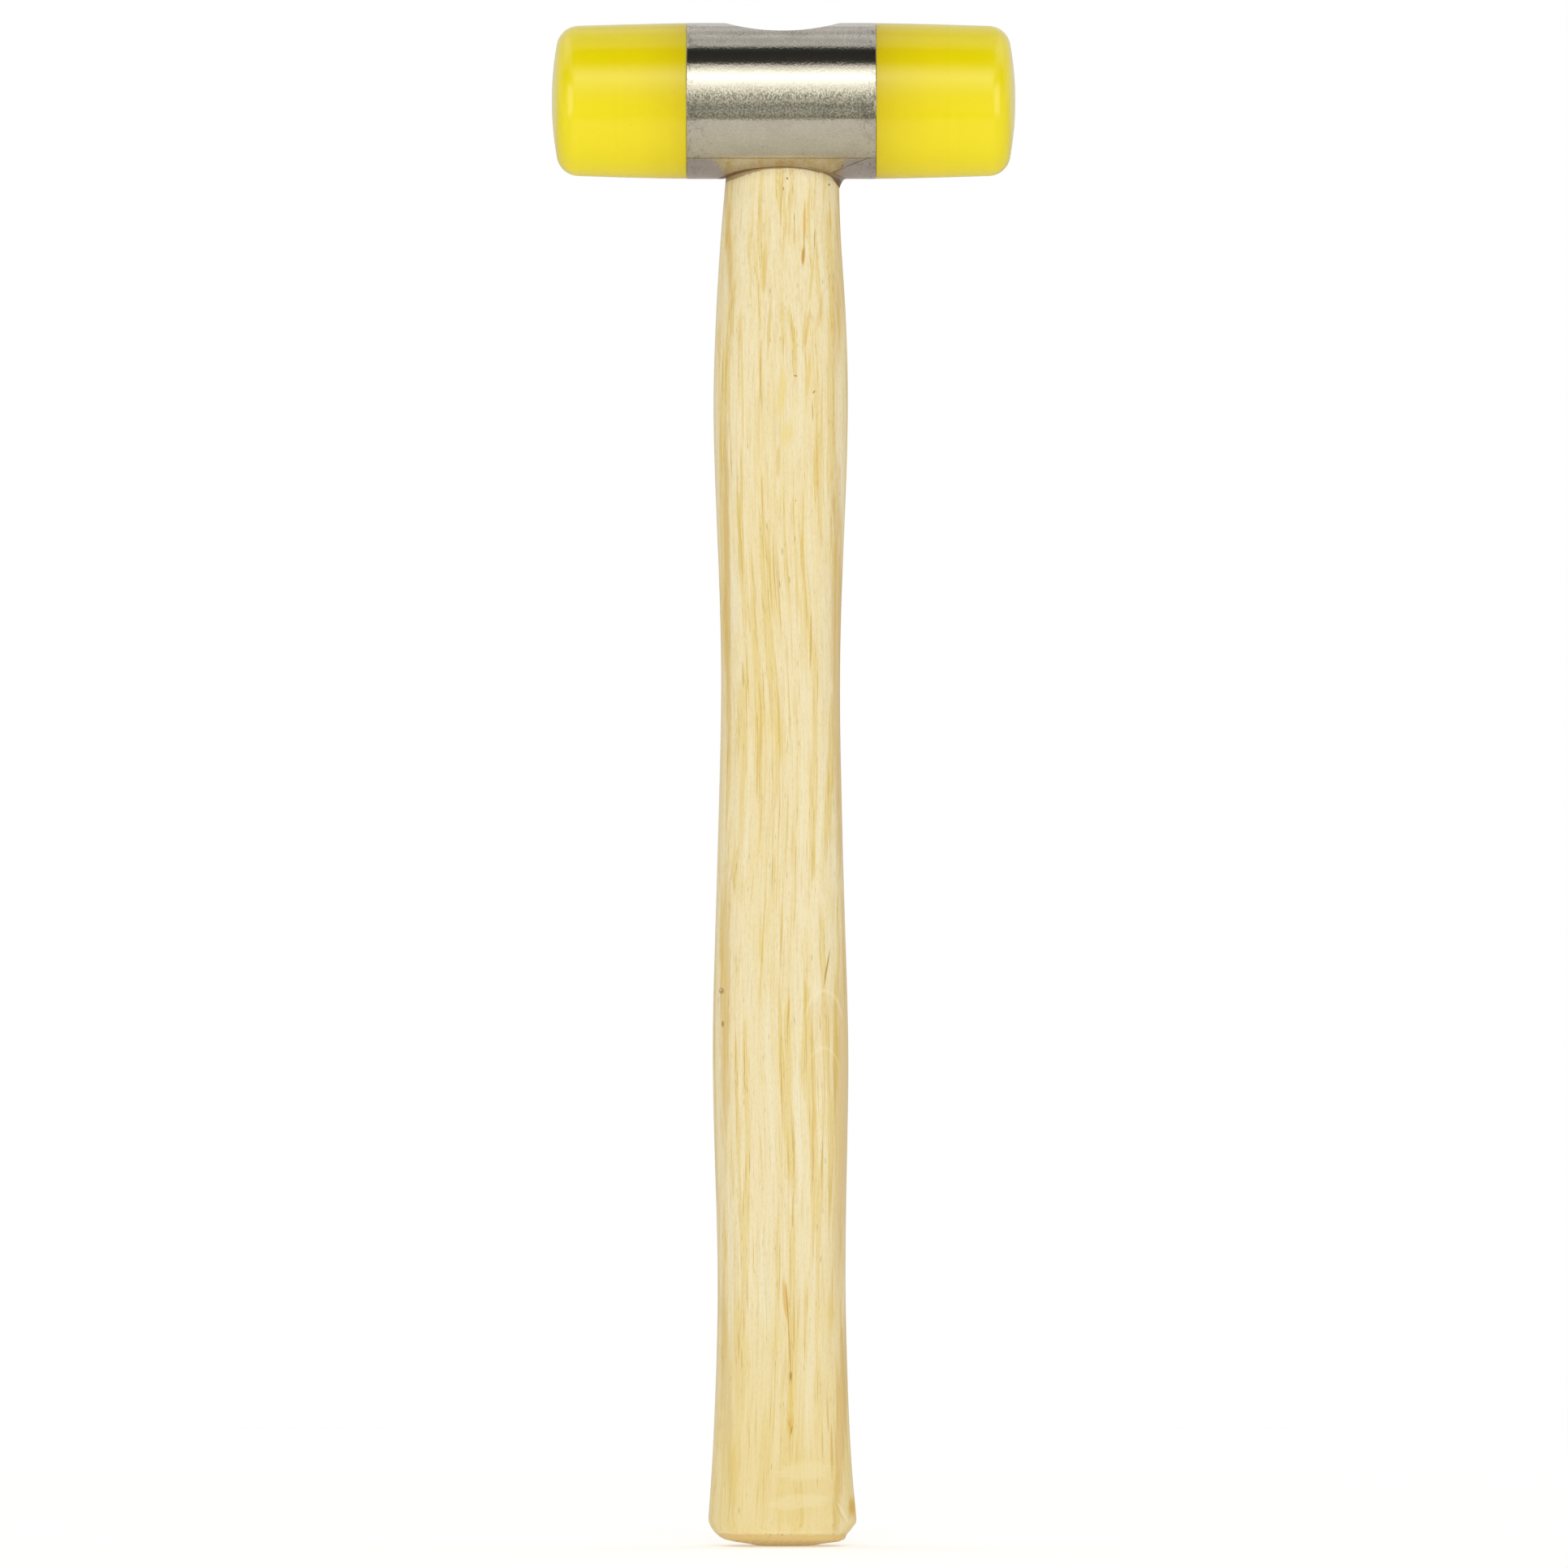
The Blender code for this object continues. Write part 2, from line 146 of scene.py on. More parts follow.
def grid_mesh(name, rings, cap_start=False, cap_end=False, closed=False):
    """A skin through rings of equal count (arrays of points, each ring closed)."""
    n = len(rings[0])
    co = np.concatenate([np.asarray(r, float) for r in rings])
    faces = []
    count = len(rings)
    for k in range(count if closed else count - 1):
        a, b = k * n, ((k + 1) % count) * n
        for i in range(n):
            j = (i + 1) % n
            faces.append((a + i, a + j, b + j, b + i))
    if cap_start:
        faces.append(tuple(reversed(range(n))))
    if cap_end:
        faces.append(tuple(range((count - 1) * n, count * n)))
    mesh = bpy.data.meshes.new(name)
    mesh.from_pydata([tuple(c) for c in co], [], faces)
    mesh.update()
    return mesh


def add(name, mesh, mat, body, replace=(), sharp=40.0):
    mesh.shade_smooth()
    mesh.set_sharp_from_angle(angle=math.radians(sharp))
    mesh.materials.clear()
    mesh.materials.append(mat)
    ob = bpy.data.objects.new(name, mesh)
    pieces.objects.link(ob)
    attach(ob, body)
    if replace:
        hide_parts(*replace)
    return ob


def outward(mesh):
    bm = bmesh.new()
    bm.from_mesh(mesh)
    bmesh.ops.recalc_face_normals(bm, faces=bm.faces)
    bm.to_mesh(mesh)
    bm.free()
    mesh.update()


def fbm(x, y, z, octaves=3):
    return noise.fractal(Vector((x, y, z)), 1.0, 2.0, octaves)


def hat(x, centre, half):
    """A smooth bump of height 1 and half width half."""
    u = abs(x - centre) / half
    return 0.0 if u >= 1 else (1 - u * u) ** 2


# ------------------------------------------------------------------ material helpers
class Tree:
    """Short calls for building a node tree."""

    def __init__(self, name, world=False):
        if world:
            self.owner = bpy.data.worlds.new(name)
        else:
            self.owner = bpy.data.materials.new(name)
        self.owner.use_nodes = True
        self.t = self.owner.node_tree
        self.t.nodes.clear()

    def node(self, kind, **props):
        n = self.t.nodes.new(kind)
        for k, v in props.items():
            setattr(n, k, v)
        return n

    def link(self, a, b):
        self.t.links.new(a, b)

    def put(self, socket, value):
        if value is None:
            return
        if hasattr(value, "is_linked") or hasattr(value, "links"):
            self.link(value, socket)
        elif isinstance(value, (tuple, list)) and socket.type == "RGBA" and len(value) == 3:
            socket.default_value = (*value, 1.0)
        else:
            socket.default_value = value

    def math(self, op, a, b=None, c=None, clamp=False):
        n = self.node("ShaderNodeMath", operation=op, use_clamp=clamp)
        self.put(n.inputs[0], a)
        if b is not None:
            self.put(n.inputs[1], b)
        if c is not None:
            self.put(n.inputs[2], c)
        return n.outputs[0]

    def vmath(self, op, a, b=None, scale=None):
        n = self.node("ShaderNodeVectorMath", operation=op)
        self.put(n.inputs[0], a)
        if b is not None:
            self.put(n.inputs[1], b)
        if scale is not None:
            self.put(n.inputs["Scale"], scale)
        return n.outputs[0]

    def xyz(self, v):
        n = self.node("ShaderNodeSeparateXYZ")
        self.link(v, n.inputs[0])
        return n.outputs[0], n.outputs[1], n.outputs[2]

    def vec(self, x, y, z):
        n = self.node("ShaderNodeCombineXYZ")
        for s, v in zip(n.inputs, (x, y, z)):
            self.put(s, v)
        return n.outputs[0]

    def coords(self, scale=1000.0):
        """Object coordinates in millimetres."""
        tc = self.node("ShaderNodeTexCoord")
        return self.vmath("SCALE", tc.outputs["Object"], scale=scale)

    def noise(self, v, scale=1.0, detail=2.0, rough=0.5, distort=0.0, dim="3D", kind="FBM"):
        n = self.node("ShaderNodeTexNoise", noise_dimensions=dim, noise_type=kind)
        self.put(n.inputs["Vector"], v)
        n.inputs["Scale"].default_value = scale
        n.inputs["Detail"].default_value = detail
        n.inputs["Roughness"].default_value = rough
        n.inputs["Distortion"].default_value = distort
        return n.outputs["Fac"]

    def voronoi(self, v, scale=1.0, feature="F1", rand=1.0):
        n = self.node("ShaderNodeTexVoronoi", feature=feature)
        self.put(n.inputs["Vector"], v)
        n.inputs["Scale"].default_value = scale
        n.inputs["Randomness"].default_value = rand
        return n

    def stretch(self, v, sx, sy, sz):
        return self.vmath("MULTIPLY", v, (sx, sy, sz))

    def ramp(self, fac, stops, mode="LINEAR"):
        n = self.node("ShaderNodeValToRGB")
        cr = n.color_ramp
        cr.interpolation = mode
        while len(cr.elements) > 1:
            cr.elements.remove(cr.elements[-1])
        for i, (pos, col) in enumerate(stops):
            e = cr.elements[0] if i == 0 else cr.elements.new(pos)
            e.position = pos
            if not isinstance(col, (tuple, list)):
                col = (col, col, col)
            e.color = (*col, 1.0)
        self.put(n.inputs[0], fac)
        return n.outputs["Color"]

    def step(self, v, lo, hi):
        """0 below lo, 1 above hi, smooth between. lo may be above hi."""
        n = self.node("ShaderNodeMapRange", interpolation_type="SMOOTHSTEP")
        self.put(n.inputs["Value"], v)
        if lo <= hi:
            n.inputs["From Min"].default_value = lo
            n.inputs["From Max"].default_value = hi
            n.inputs["To Min"].default_value = 0.0
            n.inputs["To Max"].default_value = 1.0
        else:
            n.inputs["From Min"].default_value = hi
            n.inputs["From Max"].default_value = lo
            n.inputs["To Min"].default_value = 1.0
            n.inputs["To Max"].default_value = 0.0
        return n.outputs["Result"]

    def mix(self, fac, a, b, mode="MIX"):
        n = self.node("ShaderNodeMix", data_type="RGBA", blend_type=mode)
        self.put(n.inputs[0], fac)
        self.put(n.inputs[6], a)
        self.put(n.inputs[7], b)
        return n.outputs[2]

    def blob(self, v, cx, cz, wx, wz, lean=0.0, front=True):
        """A soft mark on the front (or back) side: centre, half sizes and lean in degrees, all in mm."""
        m = self.node("ShaderNodeMapping", vector_type="TEXTURE")
        m.inputs["Location"].default_value = (cx, 0.0, cz)
        m.inputs["Rotation"].default_value = (0.0, math.radians(lean), 0.0)
        m.inputs["Scale"].default_value = (wx, 1000.0, wz)
        self.link(v, m.inputs["Vector"])
        g = self.node("ShaderNodeTexGradient", gradient_type="SPHERICAL")
        self.link(m.outputs[0], g.inputs[0])
        return g.outputs["Fac"]

    def bump(self, height, strength, distance, normal=None):
        n = self.node("ShaderNodeBump")
        n.inputs["Strength"].default_value = strength
        n.inputs["Distance"].default_value = distance
        self.put(n.inputs["Height"], height)
        if normal is not None:
            self.put(n.inputs["Normal"], normal)
        return n.outputs[0]

    def dim(self, r, g, b):
        """Scale every colour that was typed in, to balance the material against the studio."""
        for n in self.t.nodes:
            if n.bl_idname == "ShaderNodeMix":
                for s in (n.inputs[6], n.inputs[7]):
                    if not s.is_linked:
                        c = s.default_value
                        s.default_value = (c[0] * r, c[1] * g, c[2] * b, 1.0)
            elif n.bl_idname == "ShaderNodeValToRGB":
                for e in n.color_ramp.elements:
                    c = e.color
                    e.color = (c[0] * r, c[1] * g, c[2] * b, 1.0)

    def principled(self, **values):
        n = self.node("ShaderNodeBsdfPrincipled")
        for k, v in values.items():
            self.put(n.inputs[k.replace("_", " ")], v)
        out = self.node("ShaderNodeOutputMaterial")
        self.link(n.outputs[0], out.inputs["Surface"])
        return n


# ------------------------------------------------------------------ materials
def steel_material():
    """Nickel-bright steel with a fine matt grain, faint stains, nicks, painted reflection speckle along the middle of
    the front, and painted shade with grime in the mouth of the eye.
    """
    t = Tree("head_steel")
    p = t.coords()
    x, y, z = t.xyz(p)
    zr = t.math("SUBTRACT", z, HEAD_Z / MM)
    grain = t.noise(t.stretch(p, 1.15, 1.0, 1.0), scale=2.2, detail=0.6, rough=0.4)
    tooth = t.noise(p, scale=0.9, detail=0.0)
    tone = t.noise(t.stretch(p, 1.0, 1.1, 1.1), scale=4.0, detail=2.0, rough=0.7)
    stain = t.noise(t.stretch(p, 0.7, 1.0, 1.0), scale=0.16, detail=5.0, rough=0.6, distort=0.6)
    blot = t.step(t.noise(t.stretch(p, 0.6, 1.0, 1.0), scale=0.55, detail=5.0, rough=0.70, distort=0.8), 0.56, 0.70)
    pits = t.step(t.noise(p, scale=1.25, detail=2.0, rough=0.6), 0.765, 0.80)
    base = t.mix(t.step(stain, 0.35, 0.68), (0.625, 0.590, 0.530), (0.575, 0.540, 0.480))
    base = t.mix(t.math("MULTIPLY", blot, 0.24), base, (0.34, 0.30, 0.27))
    base = t.mix(t.math("MULTIPLY", t.step(tone, 0.38, 0.70), 0.26), base, (0.40, 0.370, 0.32))
    base = t.mix(t.math("MULTIPLY", pits, 0.75), base, (0.10, 0.095, 0.09))
    # handling marks towards both ends, strongest beside the seams
    reach = t.step(t.math("ABSOLUTE", t.math("SUBTRACT", x, (HEAD_X0 + HEAD_X1) / 2 / MM)), 14.0, 21.5)
    rub = t.step(t.noise(t.stretch(p, 1.4, 0.8, 0.8), scale=0.7, detail=4.0, rough=0.7, distort=0.5), 0.50, 0.66)
    base = t.mix(t.math("MULTIPLY", t.math("MULTIPLY", reach, rub), 0.55), base, (0.19, 0.175, 0.14))
    # larger dark rubbed patches beside both seams
    patch = t.math("MAXIMUM", t.blob(p, -20.4, 320.4, 3.2, 3.6), t.math("MAXIMUM", t.blob(p, 19.2, 320.8, 3.8, 3.8),
                   t.blob(p, 9.3, 322.0, 1.7, 5.0, lean=6.0)))
    patch = t.math("MAXIMUM", patch, t.math("MAXIMUM", t.blob(p, 2.6, 338.2, 4.6, 1.7, lean=4.0), t.blob(p, -9.0, 338.6, 6.5, 1.2)))
    patch = t.math("MULTIPLY", t.step(patch, 0.0, 0.8), t.step(t.noise(p, scale=2.2, detail=4.0, rough=0.75, distort=0.6), 0.44, 0.62))
    base = t.mix(t.math("MULTIPLY", t.math("MULTIPLY", patch, t.step(y, 0.0, -1.0)), 0.55), base, (0.17, 0.165, 0.135))
    # a few thin scratches
    scr = t.noise(t.vmath("ADD", t.stretch(p, 0.35, 6.0, 6.0), (5.0, 0.0, 0.0)), scale=0.9, detail=1.0)
    scr = t.math("MULTIPLY", t.step(scr, 0.70, 0.74), t.step(t.noise(p, scale=0.25, detail=1.0), 0.52, 0.62))
    base = t.mix(t.math("MULTIPLY", scr, 0.35), base, (0.30, 0.28, 0.25))
    # the seam line pressed beside the eye
    crack = t.math("MAXIMUM", t.blob(p, 12.3, HEAD_Z / MM - 15.75, 0.13, 2.1, lean=72.0),
                   t.blob(p, 16.2, HEAD_Z / MM - 14.15, 0.12, 5.2, lean=69.5))
    crack = t.math("MAXIMUM", crack, t.blob(p, 13.1, HEAD_Z / MM - 14.95, 0.13, 0.9, lean=28.0))
    crack = t.math("MAXIMUM", crack, t.blob(p, 10.9, HEAD_Z / MM - 16.45, 0.10, 1.7, lean=80.0))
    wob = t.noise(p, scale=1.3, detail=2.0)
    crack = t.math("MULTIPLY", t.step(crack, 0.02, 0.55), t.step(wob, 0.24, 0.42))
    front = t.step(y, 0.0, -1.0)
    crack = t.math("MULTIPLY", crack, front)
    base = t.mix(t.math("MULTIPLY", crack, 0.85), base, (0.100, 0.060, 0.038))
    # fine light and dark specks: a faint grain of the satin finish all over, and painted reflection speckle in a band
    # along the middle of the front
    sparkle = t.noise(p, scale=2.6, detail=0.0)
    grain_and_reflection_band = t.math("MULTIPLY", t.math("MULTIPLY", t.step(zr, -4.5, -3.9), t.step(zr, 3.4, 1.4)), front)
    grain_and_reflection_band = t.math("ADD", t.math("MULTIPLY", grain_and_reflection_band, 0.84), 0.16)
    base = t.mix(t.math("MULTIPLY", t.math("MULTIPLY", t.step(sparkle, 0.50, 0.64), grain_and_reflection_band), 0.58), base, (0.270, 0.270, 0.215))
    base = t.mix(t.math("MULTIPLY", t.math("MULTIPLY", t.step(sparkle, 0.50, 0.36), grain_and_reflection_band), 0.42), base, (0.860, 0.830, 0.735))
    # painted shade and grime where the wood comes out of the lower mouth; below it a thin dark line along the bottom of
    # the front, and a brownish film round the mouth underneath
    ex = t.math("POWER", t.math("ABSOLUTE", t.math("DIVIDE", t.math("SUBTRACT", x, EYE_X / MM), EYE_BOTTOM[0])), 2.1)
    ey = t.math("POWER", t.math("ABSOLUTE", t.math("DIVIDE", y, EYE_BOTTOM[1])), 2.1)
    ring = t.math("ADD", ex, ey)
    dirt = t.noise(p, scale=0.9, detail=4.0, rough=0.7)
    spread = t.math("ADD", t.math("MULTIPLY", t.step(x, -3.0, -12.0), 0.20), 1.06)
    mouth_shade_and_grime = t.math("SUBTRACT", t.math("ADD", ring, t.math("MULTIPLY", t.math("SUBTRACT", dirt, 0.5), 0.22)), spread)
    mouth_shade_and_grime = t.math("MULTIPLY", t.step(mouth_shade_and_grime, 0.05, -0.03), t.step(zr, 0.0, -3.0))
    base = t.mix(t.math("MULTIPLY", mouth_shade_and_grime, 0.86), base, (0.165, 0.098, 0.045))
    edge_z = t.math("ADD", zr, t.math("MULTIPLY", t.math("SUBTRACT", wob, 0.5), 0.16))
    hair_line = t.math("MULTIPLY", t.math("MULTIPLY", t.step(edge_z, -12.95, -13.10), t.step(edge_z, -13.38, -13.22)), front)
    base = t.mix(t.math("MULTIPLY", hair_line, 0.50), base, (0.220, 0.160, 0.100))
    film = t.math("MULTIPLY", t.step(ring, 2.1, 1.05), t.step(zr, -12.8, -13.6))
    film = t.math("MULTIPLY", film, t.math("ADD", t.math("MULTIPLY", dirt, 0.5), 0.30))
    base = t.mix(film, base, (0.360, 0.250, 0.150))
    # a second thin dark line beside the mouth, at its right
    twin = t.math("MULTIPLY", t.math("MULTIPLY", t.step(ring, 1.14, 1.19), t.step(ring, 1.25, 1.20)), t.step(x, 3.0, 8.0))
    twin = t.math("MULTIPLY", t.math("MULTIPLY", twin, t.step(zr, -3.0, -8.0)), t.step(dirt, 0.36, 0.50))
    base = t.mix(t.math("MULTIPLY", twin, 0.65), base, (0.150, 0.085, 0.045))
    rough = t.math("ADD", t.math("MULTIPLY", t.step(grain, 0.30, 0.72), 0.05), 0.045)
    rough = t.math("ADD", rough, t.math("MULTIPLY", t.step(stain, 0.4, 0.7), 0.04))
    rough = t.math("ADD", rough, t.math("MULTIPLY", mouth_shade_and_grime, 0.30), clamp=True)
    height = t.math("ADD", t.math("MULTIPLY", grain, 0.62), t.math("MULTIPLY", tooth, 0.30))
    height = t.math("SUBTRACT", height, t.math("MULTIPLY", pits, 0.8))
    height = t.math("SUBTRACT", height, t.math("MULTIPLY", crack, 2.0))
    normal = t.bump(height, 0.36, 0.00006)
    t.principled(Base_Color=base, Metallic=1.0, Roughness=rough, Normal=normal)
    return t.owner


def stud_material():
    t = Tree("stud_steel")
    p = t.coords()
    n1 = t.noise(t.stretch(p, 6.0, 1.0, 1.0), scale=2.0, detail=3.0)
    base = t.mix(n1, (0.56, 0.55, 0.53), (0.44, 0.43, 0.41))
    rough = t.math("ADD", t.math("MULTIPLY", n1, 0.2), 0.22)
    t.principled(Base_Color=base, Metallic=1.0, Roughness=rough, Normal=t.bump(n1, 0.2, 0.00004))
    return t.owner


def wedge_steel_material():
    t = Tree("wedge_steel")
    p = t.coords()
    n1 = t.noise(p, scale=1.6, detail=5.0, rough=0.65)
    base = t.mix(t.step(n1, 0.35, 0.65), (0.26, 0.26, 0.27), (0.38, 0.36, 0.34))
    rough = t.math("ADD", t.math("MULTIPLY", n1, 0.25), 0.32)
    t.principled(Base_Color=base, Metallic=1.0, Roughness=rough, Normal=t.bump(n1, 0.4, 0.0001))
    return t.owner


def plastic_material(name, crown_x, seat_x):
    """Waxy translucent yellow, with painted shade darkening it to ochre towards the seat, against the steel, and a
    painted glow leaving it slightly paler at the crown.
    """
    t = Tree(name)
    p = t.coords()
    x, y, z = t.xyz(p)
    sign = 1.0 if crown_x > seat_x else -1.0
    depth = t.math("MULTIPLY", t.math("SUBTRACT", crown_x / MM, x), sign)   # mm below the crown
    cloud = t.noise(p, scale=0.10, detail=2.0)
    mottle = t.noise(p, scale=0.9, detail=3.0, rough=0.6)
    # painted shade and glow: the colour darkens to ochre towards the seat, where less light comes through the plastic
    # against the steel, and is slightly paler at the crown's rounding, where light scatters through
    base = t.ramp(t.math("DIVIDE", depth, 31.0), [
        (0.0, (0.900, 0.760, 0.060)),
        (0.08, (0.905, 0.752, 0.012)),
        (0.30, (0.898, 0.742, 0.002)),
        (0.62, (0.880, 0.715, 0.002)),
        (0.84, (0.800, 0.640, 0.003)),
        (0.95, (0.735, 0.575, 0.005)),
        (1.0, (0.690, 0.520, 0.006)),
    ])
    base = t.mix(t.math("MULTIPLY", t.step(cloud, 0.35, 0.7), 0.10), base, (0.940, 0.810, 0.010))
    base = t.mix(t.math("MULTIPLY", t.step(mottle, 0.45, 0.75), 0.05), base, (0.80, 0.66, 0.004))
    # small trapped specks and thin scuffs
    specks = t.step(t.noise(p, scale=0.60, detail=0.0), 0.835, 0.88)
    base = t.mix(t.math("MULTIPLY", specks, 0.40), base, (0.72, 0.48, 0.002))
    line = t.noise(t.stretch(p, 3.5, 0.5, 0.5), scale=0.8, detail=1.0)
    scuffs = t.math("MULTIPLY", t.step(line, 0.74, 0.79), t.step(t.noise(p, scale=0.22, detail=1.0), 0.50, 0.62))
    base = t.mix(t.math("MULTIPLY", scuffs, 0.12), base, (0.940, 0.830, 0.120))
    scuff = t.noise(t.stretch(p, 0.5, 1.5, 1.5), scale=1.6, detail=4.0, rough=0.7)
    rough = t.math("ADD", t.math("MULTIPLY", t.step(scuff, 0.40, 0.80), 0.10), 0.150)
    rough = t.math("ADD", rough, t.math("MULTIPLY", scuffs, 0.15))
    height = t.math("ADD", t.math("MULTIPLY", mottle, 0.5), t.math("MULTIPLY", scuff, 0.25))
    normal = t.bump(height, 0.10, 0.00008)
    t.dim(0.940, 0.950, 0.70)
    t.principled(
        Base_Color=base, Metallic=0.0, Roughness=rough, Normal=normal, IOR=1.52,
        Subsurface_Weight=0.20, Subsurface_Radius=(0.010, 0.008, 0.0006), Subsurface_Scale=0.25,
    )
    return t.owner


def wood_material():
    """Pale hardwood under thin varnish: wandering tan streaks in cream wood, fine fibre lines, long dark pores."""
    t = Tree("handle_wood")
    p = t.coords()
    x, y, z = t.xyz(p)
    # the grain wanders slowly to the side along the handle
    sway = t.noise(t.stretch(p, 0.016, 0.016, 0.0080), scale=1.0, detail=1.5, rough=0.5)
    sway2 = t.noise(t.vmath("ADD", t.stretch(p, 0.09, 0.09, 0.026), (31.0, 7.0, 0.0)), scale=1.0, detail=2.0, rough=0.5)
    shift = t.math("ADD", t.math("MULTIPLY", t.math("SUBTRACT", sway, 0.5), 10.0),
                   t.math("MULTIPLY", t.math("SUBTRACT", sway2, 0.5), 1.7))
    q = t.vec(t.math("ADD", x, shift), t.math("ADD", y, t.math("MULTIPLY", shift, 0.35)), z)

    def grain(width, length, seed, detail=2.0, rough=0.5):
        """Noise whose features are about width across and length along the handle, in mm."""
        v = t.vmath("ADD", t.stretch(q, 0.5 / width, 0.5 / width, 0.5 / length), (seed, seed * 0.37, seed * 1.7))
        return t.noise(v, scale=1.0, detail=detail, rough=rough)

    zone = grain(5.0, 55.0, 3.0, 2.0)
    band = grain(1.05, 26.0, 11.0, 2.0, 0.50)
    lane = grain(0.42, 17.0, 23.0, 2.0, 0.55)
    fibre = grain(0.16, 6.0, 37.0, 2.0, 0.60)
    hair = grain(0.13, 0.55, 53.0, 2.0, 0.60)
    line = grain(0.13, 11.0, 91.0, 1.0, 0.50)
    cloud = t.noise(t.stretch(p, 0.24, 0.24, 0.085), scale=1.0, detail=3.0, rough=0.55, distort=0.4)

    base = t.mix(t.step(zone, 0.36, 0.66), (0.893, 0.795, 0.515), (0.872, 0.752, 0.440))
    base = t.mix(t.math("MULTIPLY", t.step(cloud, 0.50, 0.70), 0.34), base, (0.850, 0.700, 0.300))
    calm = t.math("ADD", t.math("MULTIPLY", t.step(z, 8.0, 62.0), 0.40), 0.60)     # streaks fade towards the butt
    tan_amount = t.math("MULTIPLY", t.math("MULTIPLY", t.step(band, 0.52, 0.60), 0.64), calm)
    base = t.mix(tan_amount, base, (0.800, 0.630, 0.225))
    lane_amount = t.math("MULTIPLY", t.step(lane, 0.56, 0.66), t.math("ADD", t.math("MULTIPLY", t.step(band, 0.46, 0.60), 0.62), 0.16))
    base = t.mix(lane_amount, base, (0.740, 0.535, 0.120))
    pale = t.math("MULTIPLY", t.step(band, 0.42, 0.32), 0.45)
    base = t.mix(pale, base, (0.905, 0.868, 0.655))
    line_amount = t.math("MULTIPLY", t.step(line, 0.62, 0.70), t.math("ADD", t.math("MULTIPLY", t.step(band, 0.48, 0.60), 0.60), 0.24))
    base = t.mix(line_amount, base, (0.620, 0.430, 0.090))
    base = t.mix(t.math("MULTIPLY", t.step(fibre, 0.50, 0.68), 0.20), base, (0.665, 0.475, 0.185))
    base = t.mix(t.math("MULTIPLY", t.step(fibre, 0.44, 0.30), 0.20), base, (0.940, 0.890, 0.680))
    base = t.mix(t.math("MULTIPLY", t.step(hair, 0.46, 0.72), 0.20), base, (0.57, 0.41, 0.18))
    # the last stretch above the butt is a deeper yellow
    base = t.mix(t.math("MULTIPLY", t.step(z, 62.0, 2.0), 0.46), base, (0.850, 0.690, 0.270))

    # pores: long thin dark openings, more of them in the tan streaks
    pore_v = t.voronoi(t.stretch(q, 3.0, 3.0, 0.23), scale=1.0, feature="F1")
    pore_on = t.step(pore_v.outputs["Distance"], 0.24, 0.08)
    pick = t.xyz(pore_v.outputs["Color"])[0]
    chance = t.math("ADD", t.math("MULTIPLY", t.step(band, 0.42, 0.66), 0.34), 0.045)
    pores = t.math("MULTIPLY", pore_on, t.math("LESS_THAN", pick, chance))
    base = t.mix(t.math("MULTIPLY", pores, 0.62), base, (0.470, 0.290, 0.095))
    # rare larger dark flecks
    fleck_v = t.voronoi(t.stretch(q, 1.05, 1.05, 0.13), scale=1.0, feature="F1")
    fleck = t.math("MULTIPLY", t.step(fleck_v.outputs["Distance"], 0.15, 0.04),
                   t.math("LESS_THAN", t.xyz(fleck_v.outputs["Color"])[1], 0.075))
    base = t.mix(t.math("MULTIPLY", fleck, 0.7), base, (0.36, 0.21, 0.08))

    # marks of this piece of wood, on the front side
    front = t.step(y, 1.0, -1.0)
    ragged = t.math("MULTIPLY", t.math("SUBTRACT", grain(0.35, 3.0, 71.0, 2.0), 0.5), 0.9)

    def mark(blob, colour, amount, lo=0.05, hi=0.6, rag=True):
        if rag:
            blob = t.math("ADD", blob, t.math("MULTIPLY", ragged, t.step(blob, 0.0, 0.12)))
        m = t.math("MULTIPLY", t.step(blob, lo, hi), front)
        return t.math("MULTIPLY", m, amount), (colour[0] * 1.02, colour[1] * 1.04, colour[2] * 0.92)

